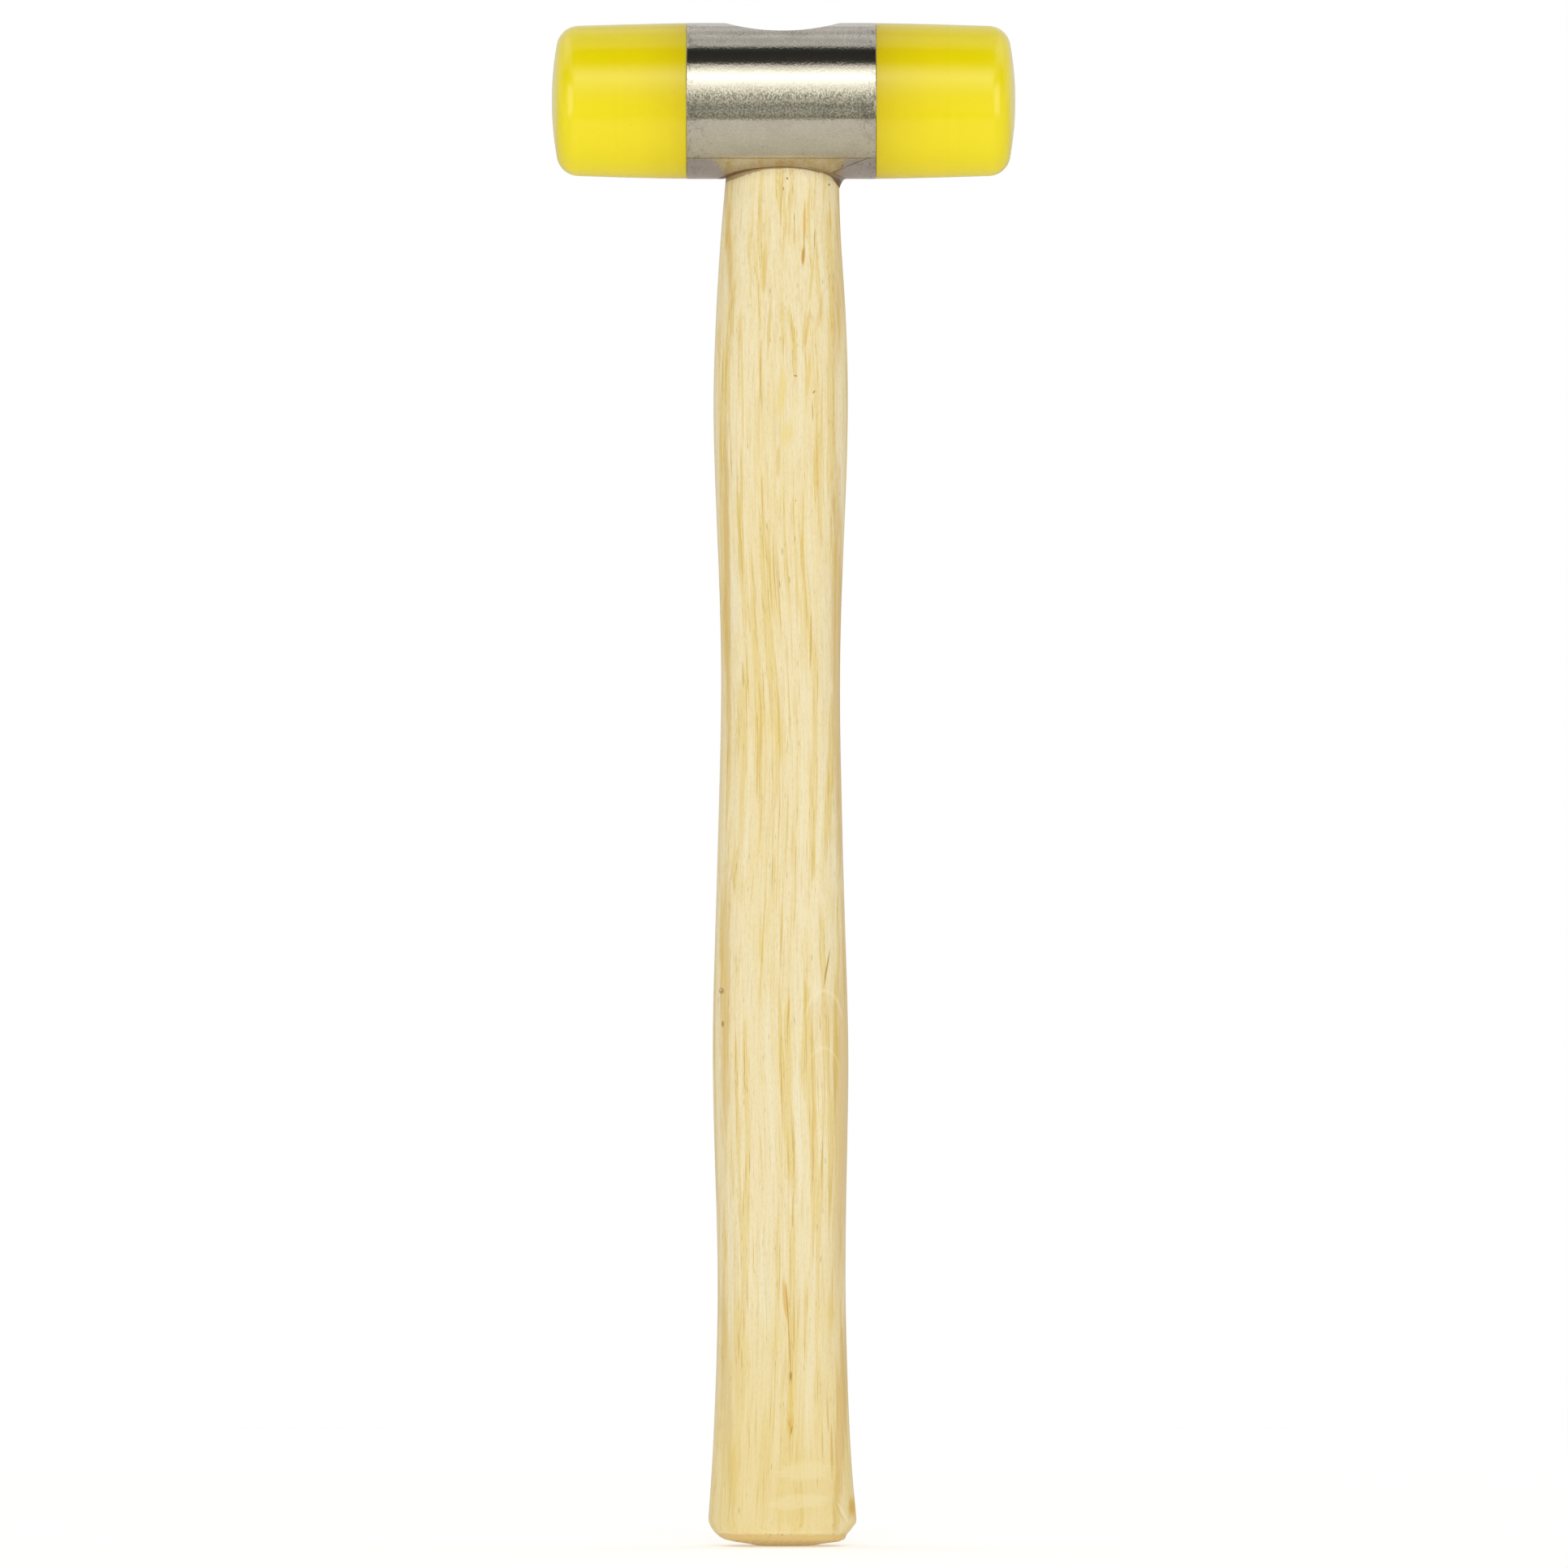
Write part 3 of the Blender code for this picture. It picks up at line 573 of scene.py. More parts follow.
    marks = [
        # painted shade: darker golden colour along the right-hand and the left-hand edge of the front, where the sides
        # turn away from the light
        mark(t.blob(p, 12.3, 196.0, 2.0, 66.0, lean=-0.8), (0.640, 0.430, 0.150), 0.55, 0.0, 0.55),
        mark(t.blob(p, 13.2, 100.0, 2.4, 62.0, lean=1.0), (0.650, 0.440, 0.165), 0.45, 0.0, 0.6),
        mark(t.blob(p, 13.0, 30.0, 1.5, 36.0, lean=3.0), (0.660, 0.430, 0.150), 0.50, 0.0, 0.5),
        mark(t.blob(p, 12.4, 286.0, 1.8, 34.0, lean=2.2), (0.690, 0.490, 0.220), 0.45, 0.0, 0.6),
        mark(t.blob(p, -12.6, 214.0, 0.9, 50.0, lean=-0.6), (0.660, 0.440, 0.130), 0.62, 0.0, 0.5),
        mark(t.blob(p, -13.0, 120.0, 1.6, 44.0, lean=0.4), (0.690, 0.480, 0.165), 0.58, 0.0, 0.6),
        mark(t.blob(p, -12.6, 32.0, 1.6, 34.0, lean=-2.0), (0.700, 0.510, 0.200), 0.45, 0.0, 0.6),
        mark(t.blob(p, -12.2, 290.0, 0.8, 26.0, lean=-2.4), (0.680, 0.470, 0.180), 0.55, 0.0, 0.6),
        # streaks of colour
        mark(t.blob(p, 4.72, 297.0, 0.50, 5.5, lean=0.4), (0.800, 0.560, 0.190), 0.80, 0.0, 0.5),
        mark(t.blob(p, 4.62, 293.2, 0.17, 9.0, lean=1.0), (0.640, 0.385, 0.080), 0.85, 0.0, 0.45, rag=False),
        mark(t.blob(p, 4.40, 288.9, 0.46, 2.6, lean=4.0), (0.600, 0.320, 0.050), 0.95, 0.0, 0.5, rag=False),
        mark(t.blob(p, 5.60, 301.5, 0.35, 4.0, lean=4.0), (0.800, 0.640, 0.240), 0.60, 0.0, 0.5),
        mark(t.blob(p, 6.30, 284.0, 0.45, 7.0, lean=5.0), (0.760, 0.560, 0.170), 0.65, 0.0, 0.5),
        mark(t.blob(p, 5.30, 272.5, 0.40, 6.5, lean=7.0), (0.740, 0.520, 0.140), 0.70, 0.0, 0.5),
        mark(t.blob(p, -4.40, 285.0, 0.50, 7.0, lean=1.5), (0.780, 0.600, 0.200), 0.65, 0.0, 0.5),
        mark(t.blob(p, -0.6, 298.5, 0.26, 5.6, lean=0.0), (0.700, 0.470, 0.120), 0.75),
        mark(t.blob(p, 2.4, 294.8, 0.24, 4.0, lean=1.0), (0.690, 0.470, 0.130), 0.70),
        mark(t.blob(p, -5.4, 299.0, 0.50, 6.5, lean=0.0), (0.730, 0.520, 0.180), 0.60),
        mark(t.blob(p, -4.2, 286.0, 0.55, 9.0, lean=1.5), (0.740, 0.530, 0.200), 0.50),
        mark(t.blob(p, -3.2, 273.5, 0.55, 9.5, lean=4.0), (0.720, 0.490, 0.140), 0.55),
        mark(t.blob(p, 8.2, 276.5, 0.70, 5.0, lean=7.0), (0.740, 0.510, 0.180), 0.50),
        mark(t.blob(p, 4.6, 271.0, 0.60, 5.5, lean=3.0), (0.720, 0.480, 0.150), 0.50),
        mark(t.blob(p, 6.1, 203.0, 0.30, 9.0, lean=1.2), (0.650, 0.430, 0.110), 0.80),
        mark(t.blob(p, -4.8, 236.0, 0.30, 7.0, lean=-1.5), (0.680, 0.450, 0.120), 0.65),
        mark(t.blob(p, -1.2, 243.0, 0.60, 5.5), (0.720, 0.500, 0.160), 0.55),
        mark(t.blob(p, -5.3, 176.0, 0.26, 12.0, lean=0.5), (0.660, 0.450, 0.160), 0.60),
        mark(t.blob(p, 1.0, 119.0, 0.24, 6.0, lean=4.0), (0.620, 0.410, 0.090), 0.75),
        mark(t.blob(p, 8.2, 117.0, 0.22, 2.8, lean=-3.0), (0.620, 0.400, 0.100), 0.60),
        mark(t.blob(p, 0.45, 55.3, 0.80, 6.6, lean=-4.0), (0.740, 0.480, 0.130), 0.80, 0.0, 0.6),
        mark(t.blob(p, 0.85, 54.0, 0.16, 6.5, lean=-4.0), (0.520, 0.280, 0.060), 0.80, 0.0, 0.5, rag=False),
        mark(t.blob(p, 1.32, 45.0, 0.20, 8.0, lean=-3.4), (0.620, 0.390, 0.090), 0.85, 0.0, 0.5, rag=False),
        mark(t.blob(p, 1.60, 38.0, 0.62, 2.2), (0.660, 0.390, 0.070), 0.75, 0.0, 0.9),
        mark(t.blob(p, 1.70, 38.2, 0.16, 1.3, lean=6.0), (0.430, 0.220, 0.040), 0.80, 0.0, 0.7, rag=False),
        mark(t.blob(p, 1.78, 33.4, 0.55, 5.2, lean=-1.0), (0.800, 0.570, 0.130), 0.65, 0.0, 0.8),
        mark(t.blob(p, 1.60, 27.3, 1.05, 3.6), (0.740, 0.470, 0.085), 0.80, 0.0, 1.0),
        mark(t.blob(p, 1.78, 26.2, 0.20, 1.5, lean=10.0), (0.450, 0.230, 0.040), 0.80, 0.0, 0.7, rag=False),
        mark(t.blob(p, 1.30, 27.6, 0.14, 1.3, lean=-12.0), (0.520, 0.290, 0.060), 0.70, 0.0, 0.7, rag=False),
        mark(t.blob(p, -11.2, 18.0, 1.6, 11.0, lean=-3.0), (0.790, 0.590, 0.190), 0.50, 0.0, 0.9),
        mark(t.blob(p, -8.0, 42.0, 0.8, 12.0, lean=-1.0), (0.800, 0.620, 0.220), 0.45, 0.0, 0.9),
        mark(t.blob(p, 10.6, 52.0, 1.1, 9.0, lean=2.0), (0.770, 0.560, 0.160), 0.60, 0.0, 0.9),
        mark(t.blob(p, 12.0, 34.0, 0.55, 12.0, lean=-1.5), (0.720, 0.490, 0.120), 0.65, 0.0, 0.7),
        mark(t.blob(p, 10.8, 21.0, 0.42, 7.5, lean=-1.0), (0.690, 0.440, 0.110), 0.75),
        mark(t.blob(p, 9.9, 29.5, 0.30, 6.5, lean=-2.0), (0.690, 0.450, 0.130), 0.60),
        mark(t.blob(p, 15.6, 8.9, 1.5, 3.2), (0.700, 0.420, 0.050), 0.90, 0.0, 0.8),
        mark(t.blob(p, 13.3, 7.7, 0.20, 3.2, lean=-28.0), (0.950, 0.880, 0.640), 0.70, 0.0, 0.5, rag=False),
        mark(t.blob(p, 12.4, 8.0, 0.22, 3.4, lean=-24.0), (0.640, 0.430, 0.130), 0.55, 0.0, 0.6),
        # dark marks
        mark(t.blob(p, 0.84, 306.2, 0.34, 0.34), (0.36, 0.12, 0.06), 0.9, rag=False),
        mark(t.blob(p, 10.2, 304.9, 0.26, 0.38, lean=10.0), (0.22, 0.10, 0.05), 0.9, rag=False),
        mark(t.blob(p, 0.00, 303.9, 0.14, 0.60), (0.30, 0.20, 0.07), 0.85, rag=False),
        mark(t.blob(p, 6.95, 292.6, 0.17, 3.4, lean=0.5), (0.47, 0.33, 0.09), 0.9, rag=False),
        mark(t.blob(p, 2.40, 297.6, 0.14, 1.2, lean=4.0), (0.34, 0.22, 0.07), 0.8, rag=False),
        mark(t.blob(p, 2.66, 262.0, 0.55, 0.22, lean=8.0), (0.38, 0.14, 0.07), 0.85, rag=False),
        mark(t.blob(p, 6.8, 258.4, 0.28, 0.55, lean=35.0), (0.42, 0.25, 0.07), 0.9, rag=False),
        mark(t.blob(p, 6.5, 254.0, 0.18, 3.0, lean=-2.0), (0.54, 0.37, 0.10), 0.85, rag=False),
        mark(t.blob(p, 5.6, 262.0, 0.75, 6.0, lean=4.0), (0.790, 0.590, 0.190), 0.60, 0.0, 0.6),
        mark(t.blob(p, -0.4, 258.0, 1.30, 8.5, lean=3.0), (0.820, 0.640, 0.200), 0.60, 0.0, 0.8),
        mark(t.blob(p, 0.6, 249.0, 2.40, 4.5, lean=8.0), (0.815, 0.650, 0.230), 0.50, 0.0, 0.8),
        mark(t.blob(p, -5.1, 262.0, 0.20, 9.0, lean=1.0), (0.640, 0.450, 0.120), 0.70, 0.0, 0.5),
        mark(t.blob(p, -9.3, 262.0, 0.35, 22.0, lean=-1.0), (0.760, 0.570, 0.200), 0.60, 0.0, 0.5),
        mark(t.blob(p, -9.8, 230.0, 0.30, 12.0, lean=1.0), (0.720, 0.520, 0.140), 0.65, 0.0, 0.5),
        mark(t.blob(p, 10.2, 262.0, 0.60, 26.0, lean=1.0), (0.790, 0.600, 0.230), 0.60, 0.0, 0.5),
        mark(t.blob(p, 6.9, 240.0, 0.30, 9.0, lean=-1.5), (0.740, 0.540, 0.150), 0.65, 0.0, 0.5),
        mark(t.blob(p, 2.72, 234.1, 0.16, 0.20), (0.28, 0.15, 0.05), 0.9, rag=False),
        mark(t.blob(p, 9.7, 129.6, 0.24, 5.8, lean=9.5), (0.42, 0.25, 0.08), 0.85, rag=False),
        mark(t.blob(p, -13.9, 124.4, 0.75, 0.85), (0.40, 0.20, 0.08), 0.75, 0.0, 0.5, rag=False),
        mark(t.blob(p, -14.1, 124.6, 0.30, 0.30), (0.80, 0.66, 0.42), 0.75, 0.0, 0.5, rag=False),
        mark(t.blob(p, -13.6, 117.0, 0.42, 1.0), (0.42, 0.24, 0.06), 0.85, rag=False),
        mark(t.blob(p, 1.56, 38.4, 0.30, 1.4), (0.40, 0.22, 0.05), 0.7, rag=False),
        mark(t.blob(p, -3.9, 2.95, 0.16, 0.14), (0.22, 0.14, 0.06), 0.9, rag=False),
        mark(t.blob(p, -2.9, 2.80, 0.24, 0.20, lean=30.0), (0.25, 0.15, 0.06), 0.85, rag=False),
        mark(t.blob(p, -1.2, 2.95, 0.20, 0.14), (0.25, 0.15, 0.06), 0.85, rag=False),
        mark(t.blob(p, -0.3, 2.80, 0.34, 0.16, lean=-30.0), (0.22, 0.13, 0.05), 0.9, rag=False),
        mark(t.blob(p, 1.6, 2.95, 0.30, 0.14), (0.27, 0.17, 0.07), 0.8, rag=False),
        mark(t.blob(p, -1.9, 1.3, 0.14, 0.18), (0.30, 0.19, 0.07), 0.8, rag=False),
    ]
    for m, colour in marks:
        base = t.mix(m, base, colour)
    # pale varnish strokes across the grain near the butt
    stroke_edge = t.noise(t.stretch(p, 0.28, 1.0, 1.6), scale=1.0, detail=3.0)
    strokes = t.math("MAXIMUM", t.blob(p, 4.6, 17.1, 8.6, 2.9, lean=-3.0), t.blob(p, 3.6, 10.2, 9.4, 2.3, lean=-4.0))
    strokes = t.math("ADD", strokes, t.math("MULTIPLY", t.math("SUBTRACT", stroke_edge, 0.5), 0.8))
    strokes = t.math("MULTIPLY", t.step(strokes, 0.12, 0.50), front)
    around = t.math("MULTIPLY", t.step(t.blob(p, 4.0, 13.0, 12.0, 11.0), 0.0, 0.5), front)
    base = t.mix(t.math("MULTIPLY", around, 0.26), base, (0.800, 0.610, 0.200))
    base = t.mix(t.math("MULTIPLY", strokes, 0.46), base, (0.900, 0.800, 0.470))
    # a curl of crossed grain on the right of the grip
    curls = 0.0
    for cx, cz, wx, wz, amp in ((9.0, 117.5, 4.6, 8.0, 0.42), (8.9, 106.5, 3.9, 6.0, 0.30)):
        cv = t.blob(p, cx, cz, wx, wz)
        rim = t.math("MULTIPLY", t.step(cv, 0.04, 0.12), t.step(cv, 0.22, 0.13))
        upper = t.step(z, cz - 1.0, cz + 3.0)
        rim = t.math("MULTIPLY", t.math("MULTIPLY", rim, upper), front)
        base = t.mix(t.math("MULTIPLY", rim, amp), base, (0.930, 0.820, 0.560))
        inner = t.math("MULTIPLY", t.math("MULTIPLY", t.step(cv, 0.14, 0.40), front), 0.16)
        base = t.mix(inner, base, (0.740, 0.540, 0.220))
    # painted highlight: a light line where the side turns under at the butt; painted shade: deeper colour below it,
    # where the bevel faces down
    low = t.math("MULTIPLY", t.step(t.math("ADD", z, t.math("MULTIPLY", t.math("SUBTRACT", cloud, 0.5), 1.2)), 3.15, 2.6), 0.55)
    base = t.mix(low, base, (0.735, 0.505, 0.150))
    bevel_edge_highlight = t.math("MULTIPLY", t.math("MULTIPLY", t.step(z, 2.7, 3.2), t.step(z, 4.0, 3.3)), t.step(stroke_edge, 0.38, 0.56))
    base = t.mix(t.math("MULTIPLY", bevel_edge_highlight, 0.30), base, (0.930, 0.850, 0.600))

    # painted shade and grime in the crease just under the steel, painted shade fading down from it, and bruised fibres
    under = t.math("SUBTRACT", t.math("SUBTRACT", HEAD_Z / MM, t.math("SQRT", t.math("SUBTRACT", (HEAD_R / MM) ** 2, t.math("MULTIPLY", y, y)))), z)
    nib = grain(0.16, 0.5, 101.0, 2.0)
    left = t.step(x, -2.0, -12.0)
    right = t.step(x, 5.0, 12.0)
    crease_reach_noise = t.noise(t.stretch(p, 0.35, 0.35, 0.6), scale=1.0, detail=3.0, rough=0.6)
    reach = t.math("ADD", t.math("MULTIPLY", t.math("SUBTRACT", nib, 0.50), 0.35), t.math("MULTIPLY", left, 0.72))
    reach = t.math("ADD", reach, t.math("MULTIPLY", t.math("SUBTRACT", crease_reach_noise, 0.46), 0.9))
    crease_shade_and_grime = t.math("MULTIPLY", t.step(t.math("SUBTRACT", under, reach), 0.22, -0.10),
                    t.math("ADD", t.math("MULTIPLY", left, 0.14), 0.76))
    base = t.mix(crease_shade_and_grime, base, (0.250, 0.150, 0.055))
    edge_shade = t.math("MULTIPLY", t.step(under, 2.4, 0.0), t.math("ADD", t.math("MULTIPLY", t.math("MAXIMUM", left, right), 0.28), 0.14))
    base = t.mix(edge_shade, base, (0.560, 0.410, 0.200))
    frayed = t.math("MULTIPLY", t.math("MULTIPLY", t.step(under, 1.9, 0.4), t.step(nib, 0.54, 0.66)), 0.42)
    base = t.mix(frayed, base, (0.520, 0.360, 0.150))

    # end grain on the butt and on the tenon's top: rings and open pores instead of long streaks
    geo = t.node("ShaderNodeNewGeometry")
    up = t.math("ABSOLUTE", t.xyz(geo.outputs["Normal"])[2])
    end = t.step(up, 0.80, 0.94)
    bend = t.noise(t.stretch(p, 0.09, 0.09, 0.0), scale=1.0, detail=2.0)
    layer = t.math("FRACT", t.math("ADD", t.math("DIVIDE", t.math("ADD", x, t.math("MULTIPLY", y, 0.35)), 1.9), t.math("MULTIPLY", bend, 4.0)))
    layer = t.math("MULTIPLY", t.step(layer, 0.0, 0.12), t.step(layer, 0.55, 0.20))
    dots_v = t.voronoi(t.stretch(p, 3.4, 3.4, 0.0), scale=1.0)
    dots = t.math("MULTIPLY", t.step(dots_v.outputs["Distance"], 0.30, 0.16),
                  t.math("LESS_THAN", t.xyz(dots_v.outputs["Color"])[0], t.math("ADD", t.math("MULTIPLY", layer, 0.7), 0.12)))
    ends = t.mix(layer, (0.745, 0.565, 0.245), (0.690, 0.500, 0.200))
    ends = t.mix(t.math("MULTIPLY", dots, 0.75), ends, (0.250, 0.145, 0.050))
    base = t.mix(t.math("MULTIPLY", end, 0.9), base, ends)

    t.dim(0.935, 0.912, 0.905)

    # varnish: soft gloss, drier over the pores and on the end grain
    rough = t.math("ADD", t.math("MULTIPLY", fibre, 0.18), 0.34)
    rough = t.math("ADD", rough, t.math("MULTIPLY", pores, 0.20))
    rough = t.math("ADD", rough, t.math("MULTIPLY", end, 0.18), clamp=True)
    height = t.math("ADD", t.math("MULTIPLY", fibre, 0.55), t.math("MULTIPLY", hair, 0.25))
    height = t.math("SUBTRACT", height, t.math("MULTIPLY", pores, 0.8))
    height = t.math("SUBTRACT", height, t.math("MULTIPLY", fleck, 0.7))
    height = t.math("SUBTRACT", height, t.math("MULTIPLY", t.math("MULTIPLY", dots, end), 0.8))
    normal = t.bump(height, 0.40, 0.00010)
    t.principled(Base_Color=base, Roughness=rough, Normal=normal, IOR=1.45)
    return t.owner


def wedge_wood_material():
    t = Tree("wedge_wood")
    p = t.coords()
    fibre = t.noise(t.stretch(p, 2.6, 2.6, 0.10), scale=1.0, detail=4.0, rough=0.6)
    pores = t.step(t.noise(t.stretch(p, 5.0, 5.0, 0.4), scale=1.0, detail=1.0), 0.66, 0.76)
    base = t.mix(t.step(fibre, 0.35, 0.68), (0.60, 0.42, 0.22), (0.44, 0.28, 0.13))
    base = t.mix(t.math("MULTIPLY", pores, 0.6), base, (0.20, 0.12, 0.05))
    rough = t.math("ADD", t.math("MULTIPLY", fibre, 0.2), 0.55)
    t.principled(Base_Color=base, Roughness=rough, Normal=t.bump(fibre, 0.5, 0.00015))
    return t.owner


def floor_material():
    t = Tree("studio_floor")
    tc = t.node("ShaderNodeTexCoord")
    x, y, z = t.xyz(tc.outputs["Object"])
    r = t.math("SQRT", t.math("ADD", t.math("MULTIPLY", x, x), t.math("MULTIPLY", y, y)))
    paper = t.noise(t.vmath("SCALE", tc.outputs["Object"], scale=1000.0), scale=0.4, detail=3.0)
    base = t.mix(paper, (0.920, 0.926, 0.945), (0.935, 0.941, 0.960))
    bsdf = t.node("ShaderNodeBsdfPrincipled")
    t.put(bsdf.inputs["Base Color"], base)
    bsdf.inputs["Roughness"].default_value = 0.9
    bsdf.inputs["Specular IOR Level"].default_value = 0.1
    bsdf.inputs["Emission Color"].default_value = (1.0, 1.0, 1.0, 1.0)
    bsdf.inputs["Emission Strength"].default_value = 0.30
    clear = t.node("ShaderNodeBsdfTransparent")
    mixer = t.node("ShaderNodeMixShader")
    t.link(t.step(r, 0.45, 1.15), mixer.inputs[0])
    t.link(bsdf.outputs[0], mixer.inputs[1])
    t.link(clear.outputs[0], mixer.inputs[2])
    out = t.node("ShaderNodeOutputMaterial")
    t.link(mixer.outputs[0], out.inputs["Surface"])
    return t.owner


# ------------------------------------------------------------------ head
def eye_half(z):
    """Half sizes of the eye at heights about the head's axis, in metres."""
    knots = (-HEAD_R, EYE_WAIST_Z, HEAD_R)
    a = smooth_curve(knots, [v[0] * MM for v in (EYE_BOTTOM, EYE_WAIST, EYE_TOP)])
    b = smooth_curve(knots, [v[1] * MM for v in (EYE_BOTTOM, EYE_WAIST, EYE_TOP)])
    return a(z), b(z)


def head_mesh():
    """The steel cylinder: its skin runs round both mouths of the eye, over a rounded edge and down the eye's wall.
    The ends carry a rounded rim, a flat, a countersink and a threaded hole."""
    edge = 0.12 * MM
    x0, x1 = HEAD_X0 + edge, HEAD_X1 - edge
    step_deg = 1.25
    half_patch = math.radians(50.0)
    ns = int(round(100.0 / step_deg))
    nf = int(round(80.0 / step_deg))
    nx = 56
    xs = np.linspace(x0, x1, nx + 1)

    verts, faces = [], []

    def v(point):
        verts.append(tuple(point))
        return len(verts) - 1

    def surf(x, s, lift=0.0, side=1.0):
        """Point on the cylinder at arc length s from the top line (side 1) or from the bottom line (side -1)."""
        th = s / HEAD_R
        y, z = math.sin(th), math.cos(th) * side
        wob = 0.010 * MM * fbm(x / MM * 0.11 + 3.0, y * 2.2, z * 2.2 + 5.0, 2)
        r = HEAD_R - 0.012 * MM + wob + lift
        return (x, r * y, HEAD_Z + r * z)

    def quad(a, b, c, d):
        faces.append((a, b, c, d))

    patch_edges = {}
    mouths = {}
    for side in (1.0, -1.0):
        s_half = HEAD_R * half_patch
        ss = np.linspace(-s_half, s_half, ns + 1)
        rim = []
        for i in range(nx):
            rim.append((xs[i], ss[0]))
        for j in range(ns):
            rim.append((xs[nx], ss[j]))
        for i in range(nx, 0, -1):
            rim.append((xs[i], ss[ns]))
        for j in range(ns, 0, -1):
            rim.append((xs[0], ss[j]))
        m = len(rim)
        # the mouth of the eye in the unrolled plane (x, s)
        mouth = []
        for x, s in rim:
            t = math.atan2(s / s_half, (x - EYE_X) / ((x1 - x0) / 2))
            z = HEAD_R * side
            for _ in range(12):
                a, b = eye_half(z)
                px, py = oval_dir(t, a, b, EYE_POWER)
                z = side * math.sqrt(max(1e-12, HEAD_R ** 2 - py ** 2))
            mouth.append((EYE_X + float(px), HEAD_R * math.asin(float(py) / HEAD_R), z, t))
        normals = []
        for k in range(m):
            ax, as_ = mouth[k - 1][:2]
            bx, bs = mouth[(k + 1) % m][:2]
            dx, ds = bx - ax, bs - as_
            length = math.hypot(dx, ds)
            nxx, nss = ds / length, -dx / length
            if nxx * (mouth[k][0] - EYE_X) + nss * mouth[k][1] < 0:
                nxx, nss = -nxx, -nss
            normals.append((nxx, nss))

        share = [hat(mk[3], 0.0, 0.80) if side < 0 else 0.0 for mk in mouth]
        # the lip leans in until it nearly touches the handle
        for k in range(m):
            mx, ms, mz, t = mouth[k]
            lean = 0.30 * MM * min(1.0, 1.6 * share[k])
            mouth[k] = (mx - normals[k][0] * lean, ms - normals[k][1] * lean, mz, t)
        soft = [(0.34 - 0.24 * min(1.0, 1.5 * share[k])) * MM for k in range(m)]

        def lift_at(k, d):
            """A small pressed lip on the lower mouth, at its right-hand end."""
            return 2.40 * MM * share[k] * max(0.0, 1 - d / (1.65 * MM)) ** 2.4

        loops = [[v(surf(x, s, side=side)) for x, s in rim]]
        steps = 18
        for n in range(1, steps + 1):
            f = 1 - (1 - n / steps) ** 1.8
            loop = []
            for k, (x, s) in enumerate(rim):
                d = soft[k]
                tx, ts = mouth[k][0] + normals[k][0] * d, mouth[k][1] + normals[k][1] * d
                px, ps = x + (tx - x) * f, s + (ts - s) * f
                dist = math.hypot(px - mouth[k][0], ps - mouth[k][1])
                loop.append(v(surf(px, ps, lift=lift_at(k, dist), side=side)))
            loops.append(loop)
        # over the edge
        wall_top = []
        for k in range(m):
            mx, ms, mz, t = mouth[k]
            drop = 0.55 * MM
            zz = mz - side * drop
            a, b = eye_half(zz)
            px, py = oval_dir(t, a, b, EYE_POWER)
            wall_top.append(Vector((EYE_X + float(px), float(py), HEAD_Z + zz)))
        for n in range(1, 6):
            u = n / 5
            loop = []
            for k in range(m):
                mx, ms, mz, t = mouth[k]
                d = soft[k]
                p0 = Vector(surf(mx + normals[k][0] * d, ms + normals[k][1] * d, lift=lift_at(k, d), side=side))
                p1 = Vector(surf(mx, ms, lift=lift_at(k, 0.0), side=side))
                p2 = wall_top[k]
                loop.append(v(p0 * (1 - u) ** 2 + p1 * 2 * u * (1 - u) + p2 * u * u))
            loops.append(loop)
        for a, b in zip(loops, loops[1:]):
            for k in range(m):
                j = (k + 1) % m
                quad(a[k], a[j], b[j], b[k])
        patch_edges[side] = (rim, loops[0], ss)
        mouths[side] = (mouth, loops[-1])

    # the eye's wall, from the upper mouth to the lower one
    top_mouth, top_loop = mouths[1.0]
    low_mouth, low_loop = mouths[-1.0]
    m = len(top_loop)
    prev = top_loop
    wall_steps = 16
    for n in range(1, wall_steps + 1):
        if n == wall_steps:
            cur = low_loop
        else:
            u = n / wall_steps
            cur = []
            for k in range(m):
                zt = top_mouth[k][2] - 0.55 * MM
                zb = low_mouth[k][2] + 0.55 * MM
                zz = zt + (zb - zt) * u
                a, b = eye_half(zz)
                px, py = oval_dir(top_mouth[k][3], a, b, EYE_POWER)
                cur.append(v((EYE_X + float(px), float(py), HEAD_Z + zz)))
        for k in range(m):
            j = (k + 1) % m
            quad(prev[k], prev[j], cur[j], cur[k])
        prev = cur

    # front and back strips between the two patches
    def patch_side(side, sign):
        """Vertices of a patch along x at s = sign * s_half, in order of x."""
        _, loop, _ = patch_edges[side]
        if sign < 0:
            return [loop[i] for i in range(nx)] + [loop[nx]]
        start = nx + ns
        return [loop[start + nx - i] if nx - i >= 0 else None for i in range(0, nx + 1)] if False else \
            [loop[start + (nx - i)] if start + (nx - i) < len(loop) else loop[0] for i in range(nx + 1)]

    strips = {}
    for sign in (-1.0, 1.0):
        upper = patch_side(1.0, sign)
        lower = patch_side(-1.0, sign)
        rows = [upper]
        for n in range(1, nf):
            th = half_patch + math.radians(80.0) * n / nf
            rows.append([v(surf(x, HEAD_R * th * sign)) for x in xs])
        rows.append(lower)
        strips[sign] = rows
        for a, b in zip(rows, rows[1:]):
            for i in range(nx):
                quad(a[i], a[i + 1], b[i + 1], b[i])

    # rings at both ends, all the way round, in order of angle
    def end_ring(which):
        """Vertex indices round the cylinder at x0 (which 0) or x1 (which nx)."""
        out = []
        for side in (1.0, -1.0):
            _, loop, ss = patch_edges[side]
            col = []
            if which == 0:
                start = 2 * nx + ns
                col = [loop[0]] + [loop[(start + ns - j) % len(loop)] for j in range(1, ns)] + [loop[start]]
            else:
                col = [loop[nx + j] for j in range(ns)] + [loop[nx + ns]]
            out.append(col)          # from s = -s_half to +s_half
        top, low = out
        ring = list(top)
        ring += [row[which] for row in strips[1.0][1:-1]]
        ring += list(reversed(low))
        ring += [row[which] for row in reversed(strips[-1.0][1:-1])]
        return ring

